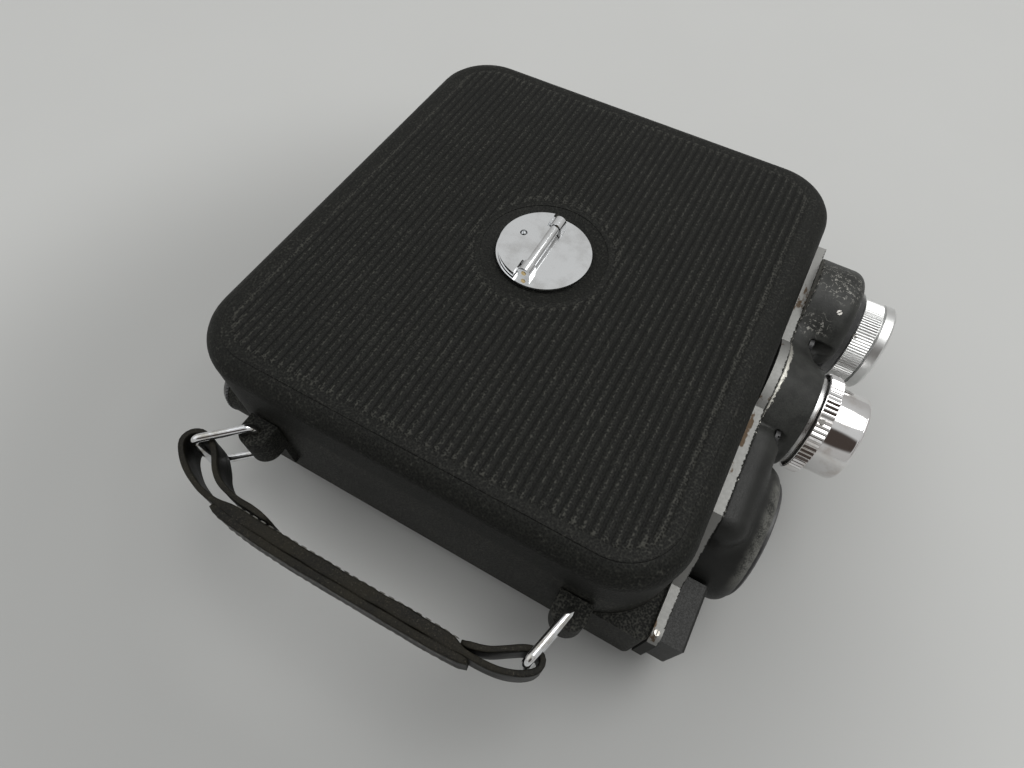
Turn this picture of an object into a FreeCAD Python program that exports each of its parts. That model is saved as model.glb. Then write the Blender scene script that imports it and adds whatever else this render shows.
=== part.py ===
import FreeCAD, Part
import math
import os
import re
import Sketcher
from FreeCAD import Placement, Rotation, Vector

# Spring-driven cine camera, lying on its mechanism side as it rests on a table.
# +X points out of the lenses, -Y is the top of the camera with its strap, +Z is the film door.
# The origin is the middle of the flat mechanism cover, on the surface the camera rests on.

# Driving dimensions in millimetres, one row each: name, value, what it is
SIZE_ROWS = [
    ("bodyLong", 117.0, "body from back to front"),
    ("bodyTall", 126.3, "body from the strap side to the tripod side"),
    ("cornerRound", 15.8, "plan radius of the body corners"),
    ("noseRound", 2.0, "plan radius of the square nose corners"),
    ("noseReach", 18.0, "how far the square nose runs back"),
    ("noseStep", 0.8, "nose in front of the door"),
    ("shellWall", 2.2, "wall of the main casting"),
    ("lipWide", 5.2, "lip that the mechanism cover screws to"),
    ("lipThick", 2.0, "thickness of that lip"),
    ("coverDrop", 8.0, "depth of the mechanism cover"),
    ("coverInset", 3.0, "cover inside the body outline"),
    ("coverWall", 2.0, "wall and floor of the cover"),
    ("coverEdge", 1.8, "rounded edge of the cover"),
    ("seamHeight", 27.5, "parting line between casting and film door"),
    ("deckSink", 1.0, "film deck below the parting line"),
    ("deckThick", 2.2, "film deck"),
    ("doorHeight", 53.5, "outer face of the film door"),
    ("doorEdge", 5.0, "rounded edge of the door"),
    ("doorWall", 2.0, "side wall of the door"),
    ("doorSkin", 2.0, "roof of the door"),
    ("doorGap", 0.5, "gap round the upright behind the lenses"),
    ("uprightLow", 20.5, "upright, from the middle towards the strap"),
    ("plateThick", 2.2, "bright front plate"),
    ("plateFoot", 9.4, "lower edge of the front plate"),
    ("plateSet", 0.6, "front plate inside the strap side"),
    ("opticHeight", 32.0, "height of the lens and dial axes"),
    ("lensSide", 32.5, "taking lens towards the tripod side"),
    ("cellSide", 27.5, "light cell towards the strap"),
    ("cellHeight", 21.0, "light cell axis"),
    ("housingDeep", 7.0, "low part of the front housing"),
    ("lensLobe", 16.5, "radius of the lobe round the lens"),
    ("lensLobeDeep", 12.0, "lobe round the lens"),
    ("dialLobe", 15.4, "radius of the lobe behind the dial"),
    ("dialLobeFront", 12.9, "front radius of the lobe behind the dial"),
    ("dialLobeDeep", 9.9, "lobe behind the dial"),
    ("cellLobe", 17.5, "radius of the lobe round the light cell"),
    ("cellLobeDeep", 11.5, "lobe round the light cell"),
    ("cellPocket", 15.0, "radius of the light cell pocket"),
    ("lobeEdge", 3.6, "rounded front edge of the lobes"),
    ("cheekInner", 15.0, "rounded cheek of the housing, from the middle"),
    ("cheekOuter", 39.5, "rounded cheek of the housing, to its end"),
    ("cheekRound", 10.0, "rounded end of the cheek"),
    ("cheekEdge", 4.5, "rounded front edge of the cheek"),
    ("scallop", 24.5, "finger scallop between dial and lens"),
    ("finderIn", 11.65, "finder axis inside the strap side"),
    ("finderHeight", 18.0, "finder axis"),
    ("finderTube", 6.0, "outer radius of the finder tube"),
    ("finderBore", 5.2, "inner radius of the finder tube"),
    ("hoodDeep", 5.9, "finder hood in front of the plate"),
    ("hoodTop", 26.0, "top of the finder hood"),
    ("hoodWindow", 4.6, "half height of the finder window"),
    ("eyepiece", 9.0, "radius of the eyepiece"),
    ("eyepieceDeep", 2.6, "eyepiece ring"),
    ("barrel", 8.0, "outer radius of the lens barrel"),
    ("barrelBore", 6.3, "inner radius of the lens barrel"),
    ("irisSeat", 7.9, "radius of the barrel under the iris ring"),
    ("collar", 13.0, "radius of the lens collar"),
    ("collarSeat", 1.2, "collar sunk in the housing"),
    ("focusRadius", 11.1, "focusing ring"),
    ("focusRim", 11.4, "front rim of the focusing ring"),
    ("focusBack", 13.5, "focusing ring from the plate, back"),
    ("focusStep", 18.6, "focusing ring from the plate, start of the rim"),
    ("focusFront", 21.7, "focusing ring from the plate, front"),
    ("knobRadius", 12.4, "knurled rim of the exposure dial"),
    ("knobBack", 10.8, "exposure dial from the plate, back"),
    ("knobStep", 15.0, "exposure dial from the plate, front of the rim"),
    ("drumRadius", 10.7, "plain drum of the exposure dial"),
    ("drumFront", 22.5, "exposure dial from the plate, front"),
    ("dialShaft", 1.5, "radius of the exposure dial shaft"),
    ("seatFit", 0.02, "radial clearance of a fixed seat"),
    ("runFit", 0.05, "radial clearance of a running fit"),
    ("gearModule", 0.5, "module of all spur gears"),
    ("gearPlay", 0.12, "tooth backlash on each flank"),
    ("dialGear", 1.6, "thickness of the exposure gears"),
    ("dialGearBack", 1.9, "exposure gears in front of the plate"),
    ("lockRadius", 11.65, "chrome lock disc"),
    ("lockThick", 1.3, "chrome lock disc"),
    ("lockSeat", 0.4, "air round the lock disc"),
    ("dishWide", 3.65, "dished surround outside the lock disc"),
    ("dishDeep", 1.0, "depth of the dished surround"),
    ("lockStem", 2.2, "radius of the lock spindle"),
    ("crossBar", 3.6, "half length of the lock cross bar"),
    ("crossThick", 1.6, "height of the lock cross bar"),
    ("postRadius", 5.5, "lock post on the deck"),
    ("postWell", 4.2, "room for the cross bar in the post"),
    ("hingeOff", 0.5, "flap hinge beside the lock axis"),
    ("hingeRise", 1.35, "flap hinge above the lock disc"),
    ("flapThick", 1.4, "folding flap"),
    ("flapBarrel", 1.2, "radius of the flap knuckle"),
    ("flapPin", 0.6, "radius of the flap pin"),
    ("earInset", 2.05, "hinge ears inside the lock rim"),
    ("earLong", 3.0, "hinge ears along the pin"),
    ("lugBack", 39.0, "rear strap lug behind the middle"),
    ("lugFront", 42.5, "front strap lug ahead of the middle"),
    ("lugHoleOut", 3.5, "lug hole outside the wall"),
    ("lugRound", 3.9, "radius of the lug end"),
    ("lugLow", 25.9, "underside of the lugs"),
    ("lugHigh", 35.1, "top of the lugs"),
    ("lugAir", 0.3, "air between the lugs and the door"),
    ("wireRadius", 1.0, "wire of the strap bails"),
    ("wireBend", 1.6, "bend of the bail wire"),
    ("bailLow", 24.0, "lower bail leg"),
    ("bailHigh", 37.0, "upper bail leg"),
    ("bailReach", 13.2, "bail from hole to cross wire"),
    ("bailGrip", 2.6, "bail ends inside the lugs"),
    ("strapLow", 25.3, "lower edge of the strap"),
    ("strapHigh", 35.7, "upper edge of the strap"),
    ("strapThick", 2.6, "strap leather"),
    ("eyeAir", 0.9, "air between strap eye and cross wire"),
    ("strapSag", 6.5, "bow of the strap away from the body"),
    ("spoolRadius", 25.4, "film spool flange"),
    ("spoolFlange", 0.8, "spool flange"),
    ("spoolCore", 8.0, "spool core"),
    ("spindle", 3.0, "spool spindles"),
    ("spindleTop", 2.6, "spindle above its spool"),
    ("supplyBack", 22.0, "supply spool behind the middle"),
    ("supplySide", 29.5, "supply spool towards the strap"),
    ("takeupSide", 26.0, "take-up spool towards the tripod side"),
    ("filmWide", 16.0, "film"),
    ("gateBack", 10.2, "back of the gate plate behind the nose"),
    ("gateThick", 1.6, "gate plate"),
    ("filmGap", 0.4, "film channel"),
    ("padThick", 1.4, "pressure plate"),
    ("padHalf", 13.0, "half length of the pressure plate"),
    ("padTravel", 1.5, "pressure plate travel"),
    ("padStem", 1.4, "radius of the pressure plate stem"),
    ("rollerRadius", 3.6, "rims of the film rollers"),
    ("rollerOff", 17.0, "film rollers beside the lens axis"),
    ("rollerPin", 1.2, "radius of the roller pins"),
    ("clawTravel", 3.8, "stroke of the claw"),
    ("shutterRadius", 16.5, "shutter disc"),
    ("shutterThick", 0.5, "shutter disc"),
    ("shutterDown", 12.0, "shutter axis below the lens axis"),
    ("shutterOff", 8.5, "shutter axis beside the lens axis"),
    ("shutterBack", 6.9, "shutter behind the nose"),
    ("shutterShaft", 1.2, "radius of the shutter shaft"),
    ("mainX", 12.0, "spring drum behind the middle"),
    ("mainY", 13.0, "spring drum towards the tripod side"),
    ("mainLow", 7.0, "underside of the spring drum"),
    ("mainHigh", 13.8, "top of the spring drum"),
    ("mainRim", 2.4, "toothed rim of the spring drum"),
    ("mainCan", 24.4, "radius of the spring drum"),
    ("mainWall", 1.2, "wall of the spring drum"),
    ("arbor", 2.5, "spring drum arbor"),
    ("bridgeLow", 4.8, "underside of the bridge plate"),
    ("bridgeThick", 1.4, "bridge plate"),
    ("pillar", 2.0, "radius of the bridge pillars"),
    ("crownRadius", 17.0, "crown wheel"),
    ("crownThick", 1.4, "web of the crown wheel"),
    ("crownTooth", 1.6, "height of the crown teeth"),
    ("staff", 1.6, "radius of the wheel staffs"),
    ("takeupDrop", 2.8, "take-up wheel below the deck"),
    ("wheelThick", 1.4, "take-up wheel"),
    ("governorRadius", 7.0, "governor rotor"),
    ("meterBack", 13.3, "meter behind the nose"),
    ("meterRadius", 8.0, "meter movement"),
    ("meterLow", 10.2, "underside of the meter movement"),
    ("meterTall", 9.0, "meter movement"),
    ("keyDish", 20.0, "radius of the winding key dish"),
    ("keyDishDeep", 3.2, "depth of the winding key dish"),
    ("keyThick", 2.0, "folding winding handle"),
    ("keyLong", 16.4, "winding handle from its hinge"),
    ("keyHub", 6.0, "radius of the winding hub"),
    ("keyArm", 3.0, "width of the handle arms"),
    ("keyPin", 0.8, "radius of the winding key pin"),
    ("tripodX", 22.0, "tripod bush ahead of the middle"),
    ("tripodHeight", 17.5, "tripod bush height"),
    ("tripodBore", 2.6, "tripod thread core radius"),
    ("tripodBush", 3.8, "half width of the square tripod bush"),
    ("tripodDeep", 8.0, "tripod thread length"),
    ("releaseSide", 6.5, "release button towards the strap"),
    ("releaseHeight", 14.0, "release button height"),
    ("releaseTravel", 2.5, "release button travel"),
    ("releaseRadius", 3.2, "release button"),
    ("releaseStem", 1.5, "radius of the release stem"),
    ("speedX", 30.0, "speed dial ahead of the middle"),
    ("speedY", 31.0, "speed dial towards the strap"),
    ("speedRadius", 8.9, "speed dial"),
    ("counterX", 36.0, "frame counter behind the middle"),
    ("counterY", 31.0, "frame counter towards the strap"),
    ("counterGlass", 7.0, "radius of the counter window"),
    ("screwRadius", 1.25, "shank of the casing screws"),
    ("screwBoss", 3.0, "radius of the screw bosses"),
    ("smallScrew", 1.0, "shank of the housing screws"),
]
SIZE_NAMES = {name for name, value, note in SIZE_ROWS}

# Teeth of the wheels
TEETH = {"main": 104, "centre": 20, "crown": 60, "shutter": 12, "takeup": 132, "takeup_pinion": 24,
         "governor": 12, "dial": 40, "idler": 20}

# Places worked out from the driving dimensions, used by name in the expressions below
DERIVED = {
    "halfLong": "bodyLong / 2",
    "halfTall": "bodyTall / 2",
    "noseFace": "halfLong + noseStep",
    "plateFace": "noseFace + plateThick",
    "housingFace": "plateFace + housingDeep",
    "deckTop": "seamHeight - deckSink",
    "deckUnder": "deckTop - deckThick",
    "lipTop": "coverDrop + lipThick",
    "uprightHeight": "opticHeight + 11.5",
    "uprightHigh": "lensSide + 16.5",
    "plateTop": "opticHeight + 12",
    "plateEnd": "lensSide + 19",
    "housingTop": "opticHeight + 11.2",
    "dialSide": f"lensSide - gearModule * {TEETH['dial'] + TEETH['idler']}",
    "idlerSide": "(lensSide + dialSide) / 2",
    "cellY": "0 - cellSide",
    "finderY": "0 - halfTall + finderIn",
    "lockY": "0.5",
    "lockUnder": "doorHeight - lockThick + 0.1",
    "lockTop": "lockUnder + lockThick",
    "hingeX": "0 - hingeOff",
    "hingeHeight": "lockTop + hingeRise",
    "barLow": "doorHeight - 14.5",
    "postTop": "doorHeight - 10.5",
    "postRoom": "postTop - 1.5",
    "lugY": "0 - halfTall - lugHoleOut",
    "filmLow": "opticHeight - filmWide / 4",
    "spoolLow": "filmLow - spoolFlange",
    "spoolWide": "filmWide + 1.4",
    "spoolTop": "spoolLow + spoolWide",
    "gateFace": "noseFace - gateBack + gateThick",
    "pressFace": "gateFace - gateThick - filmGap",
    "pressBack": "pressFace - padThick",
    "rollerX": "pressFace + filmGap / 2 - rollerRadius",
    "shutterSide": "lensSide - shutterOff",
    "shutterHeight": "opticHeight - shutterDown",
    "shutterPlane": "noseFace - shutterBack",
    "drumX": "0 - mainX",
    "bridgeTop": "bridgeLow + bridgeThick",
    "centreReach": f"gearModule * {(TEETH['main'] + TEETH['centre']) / 2}",
    "centreX": "drumX + sqrt(centreReach * centreReach - (shutterSide - mainY) * (shutterSide - mainY))",
    "takeupReach": f"gearModule * {(TEETH['takeup'] + TEETH['takeup_pinion']) / 2}",
    "takeupX": "centreX - sqrt(takeupReach * takeupReach"
               " - (takeupSide - shutterSide) * (takeupSide - shutterSide))",
    "takeupLow": "deckUnder - takeupDrop",
    "crownPinion": f"crownRadius * {TEETH['shutter']} / {TEETH['crown']}",
    "crownFloor": "shutterHeight - crownPinion - 0.9",
    "meterX": "noseFace - meterBack",
    "meterY": "2 - cellSide",
    "releaseY": "0 - releaseSide",
    "keyHeight": "keyDishDeep / 2 + 0.1",
    "frontScrewX": "halfLong - 8.5",
    "rearScrewX": "8.5 - halfLong",
    "lowScrewY": "23 - halfTall",
    "highScrewY": "halfTall - 11.5",
}

# Direction of each strap bail at rest, and of the governor from the spring drum, in degrees from +X
BAIL_ANGLE = {"rear": -137.0, "front": -104.4}
GOVERNOR_ANGLE = -100.0

# Places that several pieces share, as pairs of expressions
LENS = ("lensSide", "opticHeight")
DIAL = ("dialSide", "opticHeight")
IDLER = ("idlerSide", "opticHeight")
CELL = ("cellY", "cellHeight")
FINDER = ("finderY", "finderHeight")
RELEASE = ("releaseY", "releaseHeight")
TRIPOD = ("tripodX", "tripodHeight")
LOCK = ("0", "lockY")
DRUM = ("drumX", "mainY")
CENTRE = ("centreX", "shutterSide")
SUPPLY = ("0 - supplyBack", "0 - supplySide")
TAKEUP = ("takeupX", "takeupSide")
SHUTTER = ("shutterSide", "shutterHeight")
METER = ("meterX", "meterY")
SPEED = ("speedX", "0 - speedY")
COUNTER = ("0 - counterX", "0 - counterY")
LUGS = {"rear": ("0 - lugBack", "lugY"), "front": ("lugFront", "lugY")}
ROLLERS = {"upper": ("rollerX", "lensSide - rollerOff"), "lower": ("rollerX", "lensSide + rollerOff")}
CASING_SCREWS = [("rearScrewX", "lowScrewY"), ("frontScrewX", "lowScrewY"),
                 ("rearScrewX", "highScrewY"), ("frontScrewX", "highScrewY")]
HOUSING_SCREWS = [("idlerSide", "opticHeight + 8.2"), ("dialSide - 13.5", "opticHeight + 7.6"),
                  ("lensSide + 9", "opticHeight - 18.5"), ("dialSide + 6", "opticHeight - 18")]
PILLARS = [("drumX - 32", "mainY - 27"), ("drumX + 42", "mainY - 27"), ("centreX + 17", "shutterSide + 22")]


doc = FreeCAD.newDocument("cine_camera")
sheet = doc.addObject("Spreadsheet::Sheet", "Sizes")
for row, (name, value, note) in enumerate(SIZE_ROWS, start=1):
    sheet.set(f"A{row}", name)
    sheet.set(f"B{row}", str(value))
    sheet.set(f"C{row}", note)
    sheet.setAlias(f"B{row}", name)
doc.recompute()

pieces = []


def expand(text):
    """Turn plain size names into references to the sheet."""
    def swap(match):
        word = match.group(0)
        if word in DERIVED:
            return "(" + expand(DERIVED[word]) + ")"
        if word in SIZE_NAMES:
            return "Sizes." + word
        return word
    return re.sub(r"[A-Za-z_]\w*", swap, str(text))


def number(text):
    """The present value of an expression in size names."""
    return float(sheet.evalExpression(expand(text)))


def place_of(pair):
    return number(pair[0]), number(pair[1])


def bind(thing, prop, text):
    thing.setExpression(prop, expand(text))


ALONG = {"x": Rotation(Vector(0, 1, 0), 90), "y": Rotation(Vector(1, 0, 0), -90), "z": Rotation()}


def put(thing, x, y, z, axis="z"):
    """Place an object by expressions, with its own axis laid along x, y or z."""
    thing.Placement = Placement(Vector(), ALONG[axis])
    for side, text in zip("xyz", (x, y, z)):
        bind(thing, "Placement.Base." + side, text)
    return thing


def at(axis, across, low):
    """Coordinates of a point on an axis that runs along x, y or z."""
    first, second = across
    return {"x": (low, first, second), "y": (first, low, second), "z": (first, second, low)}[axis]


def keep(thing, label):
    """Name an object as a finished sub-part."""
    thing.Label = label
    pieces.append(thing)
    return thing


def box(name, x, y, z):
    """A block between two expressions along each axis."""
    block = doc.addObject("Part::Box", name)
    for side, (low, high) in zip(("Length", "Width", "Height"), (x, y, z)):
        bind(block, side, f"({high}) - ({low})")
    return put(block, x[0], y[0], z[0])


def rod(name, axis, across, radius, low, high):
    """A cylinder along x, y or z between two expressions."""
    bar = doc.addObject("Part::Cylinder", name)
    bind(bar, "Radius", radius)
    bind(bar, "Height", f"({high}) - ({low})")
    return put(bar, *at(axis, across, low), axis)


def cone(name, axis, across, start, radii, height):
    taper = doc.addObject("Part::Cone", name)
    bind(taper, "Radius1", radii[0])
    bind(taper, "Radius2", radii[1])
    bind(taper, "Height", height)
    return put(taper, *at(axis, across, start), axis)


def fuse(name, *shapes):
    joined = doc.addObject("Part::MultiFuse", name)
    joined.Shapes = list(shapes)
    joined.Refine = True
    return joined


def cut(name, base, *tools):
    result = doc.addObject("Part::Cut", name)
    result.Base = base
    result.Tool = tools[0] if len(tools) == 1 else fuse(name + "_tools", *tools)
    result.Refine = True
    return result


def common(name, base, tool):
    result = doc.addObject("Part::Common", name)
    result.Base = base
    result.Tool = tool
    return result


def fillet(name, base, radius, chosen):
    """Round the edges for which chosen(edge) holds."""
    doc.recompute()
    size = number(radius)
    result = doc.addObject("Part::Fillet", name)
    result.Base = base
    result.Edges = [(i, size, size) for i, edge in enumerate(base.Shape.Edges, start=1) if chosen(edge)]
    return result


def lies_at(axis, text):
    """A test for edges that lie wholly in one plane across an axis."""
    level = number(text)
    return lambda edge: all(abs(getattr(v.Point, axis) - level) < 1e-5 for v in edge.Vertexes)


def runs_along(axis):
    """A test for straight edges parallel to an axis."""
    others = "xyz".replace(axis, "")

    def test(edge):
        a, b = edge.Vertexes[0].Point, edge.Vertexes[-1].Point
        return a.distanceToPoint(b) > 1e-6 and all(abs(getattr(a, o) - getattr(b, o)) < 1e-6 for o in others)
    return test


def rounded(name, x, y, z, radius):
    """A block with four rounded upright edges."""
    return fillet(name, box(name + "_block", x, y, z), radius, runs_along("z"))


def across(half):
    return f"0 - ({half})", half


def sketch_loop(body, name, plane, points):
    """A closed outline in a body's origin plane, each corner held by two named dimensions."""
    outline = body.newObject("Sketcher::SketchObject", name)
    origin = next(f for f in body.Origin.OriginFeatures if f.Role == plane)
    outline.AttachmentSupport = (origin, [""])
    outline.MapMode = "FlatFace"
    corners = [(number(u), number(v)) for u, v in points]
    for here, there in zip(corners, corners[1:] + corners[:1]):
        outline.addGeometry(Part.LineSegment(Vector(*here, 0), Vector(*there, 0)), False)
    for i in range(len(corners)):
        outline.addConstraint(Sketcher.Constraint("Coincident", i, 2, (i + 1) % len(corners), 1))
    for i, pair in enumerate(points):
        for kind, text, value in zip(("DistanceX", "DistanceY"), pair, corners[i]):
            index = outline.addConstraint(Sketcher.Constraint(kind, -1, 1, i, 1, value))
            tag = f"{kind[-1].lower()}{i}"
            outline.renameConstraint(index, tag)
            bind(outline, "Constraints." + tag, text)
    return outline


def turned(name, axis, across, start, profile):
    """A turned piece: its profile lists (radius, distance from start) pairs and closes by itself."""
    body = doc.addObject("PartDesign::Body", name)
    outline = sketch_loop(body, name + "_profile", "XZ_Plane", profile)
    turn = body.newObject("PartDesign::Revolution", name + "_turn")
    turn.Profile = outline
    turn.ReferenceAxis = (outline, ["V_Axis"])
    turn.Angle = 360
    body.Tip = turn
    return put(body, *at(axis, across, start), axis)


def prism(name, points, low, high):
    """A plate standing across X, its outline given as (y, z) pairs."""
    body = doc.addObject("PartDesign::Body", name)
    outline = sketch_loop(body, name + "_outline", "YZ_Plane", points)
    pad = body.newObject("PartDesign::Pad", name + "_pad")
    pad.Profile = outline
    bind(pad, "Length", f"({high}) - ({low})")
    body.Tip = pad
    return put(body, low, "0", "0")


def made(name, shape):
    """A sub-part whose shape is worked out in code from the sheet."""
    thing = doc.addObject("Part::Feature", name)
    thing.Shape = shape
    return thing


def post(centre, radius, low, high):
    """A plain upright cylinder between two numbers."""
    return Part.makeCylinder(radius, high - low, Vector(*centre, low))


def toothed(teeth, rows, play=0.0):
    """A toothed outline: rows give (radius, share of the half pitch that the tooth fills)."""
    quarter = math.pi / (2 * teeth)
    corners = []
    for tooth in range(teeth):
        middle = 2 * math.pi * tooth / teeth
        for side, order in ((-1, rows), (1, rows[::-1])):
            for radius, width in order:
                turn = middle + side * (quarter * width - play / radius)
                corners.append(Vector(radius * math.cos(turn), radius * math.sin(turn), 0))
    return Part.Face(Part.makePolygon(corners + corners[:1]))


def gear_shape(teeth, thick, bore=0.0):
    """A spur gear with straight-flanked teeth, lying at the origin."""
    module = number("gearModule")
    pitch = teeth * module / 2
    rows = [(pitch - 1.2 * module, 1.32), (pitch, 1.0), (pitch + 0.9 * module, 0.55)]
    blank = toothed(teeth, rows, number("gearPlay")).extrude(Vector(0, 0, thick))
    return blank.cut(Part.makeCylinder(bore, thick)) if bore else blank


def laid(shape, axis, x, y, z, turn=0.0):
    """Turn a shape about its own axis, lay it along x, y or z and move it to numbers."""
    shape = shape.copy()
    spin = Rotation(Vector(0, 0, 1), turn)
    shape.Placement = Placement(Vector(x, y, z), ALONG[axis].multiply(spin))
    return shape


def mesh_turn(driver_turn, driver, driven, direction):
    """Turn of a driven gear, in degrees, that puts its teeth between those of its driver."""
    pitch = 360 / TEETH[driver]
    lead = ((direction - driver_turn) % pitch) / pitch
    return direction + 180 + (lead + 0.5) * 360 / TEETH[driven]


# Main casting: wall, deck, upright behind the lenses, bosses and strap lugs
def body_shell():
    outer = fuse(
        "shell_outside",
        rounded("shell_main", across("halfLong"), across("halfTall"), ("coverDrop", "seamHeight"),
                "cornerRound"),
        rounded("shell_nose", ("halfLong - noseReach", "noseFace"), across("halfTall"),
                ("coverDrop", "seamHeight"), "noseRound"),
    )
    inner = across("halfLong - shellWall"), across("halfTall - shellWall")
    mouth = across("halfLong - lipWide"), across("halfTall - lipWide")
    inner_round, mouth_round = "cornerRound - shellWall", "cornerRound - lipWide"
    hollow = cut(
        "shell_hollow", outer,
        rounded("works_room", *inner, ("lipTop", "deckUnder"), inner_round),
        rounded("works_mouth", *mouth, ("coverDrop - 1", "lipTop + 0.5"), mouth_round),
        rounded("film_floor", *inner, ("deckTop", "seamHeight + 1"), inner_round),
    )
    deck = "deckTop - 0.5"
    bearing = ("shutterSide - 3.5", "shutterSide + 3.5"), ("shutterHeight - 3.5", "deckUnder + 0.5")
    added = [
        hollow,
        box("upright", ("halfLong - doorWall - 1", "noseFace"), ("0 - uprightLow", "uprightHigh"),
            ("deckUnder", "uprightHeight")),
        rod("eyepiece_boss", "x", FINDER, "eyepiece", "0 - halfLong - 1.4", "9 - halfLong"),
        rod("tripod_boss", "y", TRIPOD, "tripodBush + 2", "halfTall - tripodDeep - 3", "halfTall - 1"),
        rod("lock_post", "z", LOCK, "postRadius", deck, "postTop"),
        rod("supply_boss", "z", SUPPLY, "spindle + 2", deck, "spoolLow - 0.1"),
        box("rear_bearing", ("centreX + 9", "centreX + 12"), *bearing),
        box("front_bearing", ("shutterPlane - 8", "shutterPlane - 5"), *bearing),
    ]
    for end, (x, y) in LUGS.items():
        sides = (f"{x} - lugRound", f"{x} + lugRound")
        added += [
            cut(f"{end}_lug_end", rod(f"{end}_lug_round", "z", (x, y), "lugRound", "lugLow", "lugHigh"),
                box(f"{end}_lug_relief", sides, ("0 - halfTall - lugAir", "1 - halfTall"),
                    ("seamHeight", "lugHigh + 1"))),
            box(f"{end}_lug_neck", sides, (y, "0 - halfTall - lugAir"), ("lugLow", "lugHigh")),
            box(f"{end}_lug_root", sides, (f"{y} + lugHoleOut / 2", "1 - halfTall"),
                ("lugLow - 9", "seamHeight")),
        ]
    added += [rod(f"screw_boss_{i}", "z", place, "screwBoss", "coverDrop", "deckUnder + 0.5")
              for i, place in enumerate(CASING_SCREWS)]
    added += [rod(f"{end}_roller_pin", "z", place, "rollerPin", deck, "filmLow + filmWide + 0.8")
              for end, place in ROLLERS.items()]
    nose = "noseFace - 6", "noseFace + 1"
    holes = [
        rod("lens_port", "x", LENS, "barrelBore + 0.2", *nose),
        rod("dial_shaft_hole", "x", DIAL, "dialShaft + runFit", *nose),
        rod("release_hole", "x", RELEASE, "releaseStem + runFit", *nose),
        rod("finder_hole", "x", FINDER, "finderTube", "0 - halfLong - 3", "noseFace + 1"),
        tripod_block("tripod_hole", "tripodBush", ("halfTall - tripodDeep", "halfTall + 1")),
        rod("takeup_hole", "z", TAKEUP, "spindle + runFit", "deckUnder - 1", "deckTop + 1"),
        rod("centre_hole", "z", CENTRE, "staff + runFit", "deckUnder - 1", "deckUnder + 1.2"),
        rod("shutter_bearings", "x", SHUTTER, "shutterShaft + runFit", "centreX + 8", "shutterPlane - 4"),
        box("shutter_slot", ("gateFace + 0.05", "shutterPlane + shutterThick + 0.6"),
            ("shutterSide - shutterRadius - 0.6", "shutterSide + shutterRadius + 0.6"),
            ("deckUnder - 1", "deckTop + 1")),
        rod("lock_well", "z", LOCK, "postWell", "barLow - 2", "postRoom"),
        rod("lock_mouth", "z", LOCK, "lockStem + 0.3", "postRoom - 0.5", "postTop + 1"),
        box("lock_slot", across("crossBar + 0.3"), ("lockY - 1.2", "lockY + 1.2"),
            ("postRoom - 0.5", "postTop + 1")),
    ]
    holes += [rod(f"{end}_lug_hole", "z", place, "wireRadius + runFit", "lugLow - 1", "lugHigh + 1")
              for end, place in LUGS.items()]
    holes += [rod(f"screw_hole_{i}", "z", place, "screwRadius", "coverDrop - 1", "coverDrop + 6")
              for i, place in enumerate(CASING_SCREWS)]
    holes += [rod(f"housing_screw_hole_{i}", "x", place, "smallScrew", "noseFace - 2.6", "noseFace + 1")
              for i, place in enumerate(HOUSING_SCREWS)]
    holes += [rod(f"pillar_hole_{i}", "z", place, "pillar - 0.8", "deckUnder - 1", "deckUnder + 1.2")
              for i, place in enumerate(PILLARS)]
    governor = [str(v) for v in governor_place()]
    holes.append(rod("governor_hole", "z", governor, "staff + runFit", "deckUnder - 1", "deckUnder + 1.2"))
    keep(cut("body_shell", fuse("shell_solid", *added), *holes), "body_shell")


# Film door with the dished seat of its lock
def film_door():
    outside = rounded("door_block", across("halfLong"), across("halfTall"), ("seamHeight", "doorHeight"),
                      "cornerRound")
    softened = fillet("door_rounding", outside, "doorEdge", lies_at("z", "doorHeight"))
    hollow = cut(
        "door_hollow", softened,
        rounded("door_room", across("halfLong - doorWall"), across("halfTall - doorWall"),
                ("seamHeight - 1", "doorHeight - doorSkin"), "cornerRound - doorWall"),
        box("door_notch", ("halfLong - doorWall - 2", "halfLong + 1"),
            ("0 - uprightLow - doorGap", "uprightHigh + doorGap"),
            ("seamHeight - 1", "uprightHeight + doorGap")),
    )
    boss = rod("door_boss", "z", LOCK, "lockRadius + 1.5", "doorHeight - 5", "doorHeight - 1.1")
    seat = "lockRadius + lockSeat"
    keep(cut("film_door", fuse("door_solid", hollow, boss),
             cone("lock_dish", "z", LOCK, "doorHeight - dishDeep", (seat, f"{seat} + dishWide * 1.1"),
                  "dishDeep * 1.1"),
             rod("lock_recess", "z", LOCK, seat, "lockUnder - 0.1", "doorHeight"),
             rod("lock_bore", "z", LOCK, "lockStem + runFit", "doorHeight - 6", "doorHeight")), "film_door")


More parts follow.
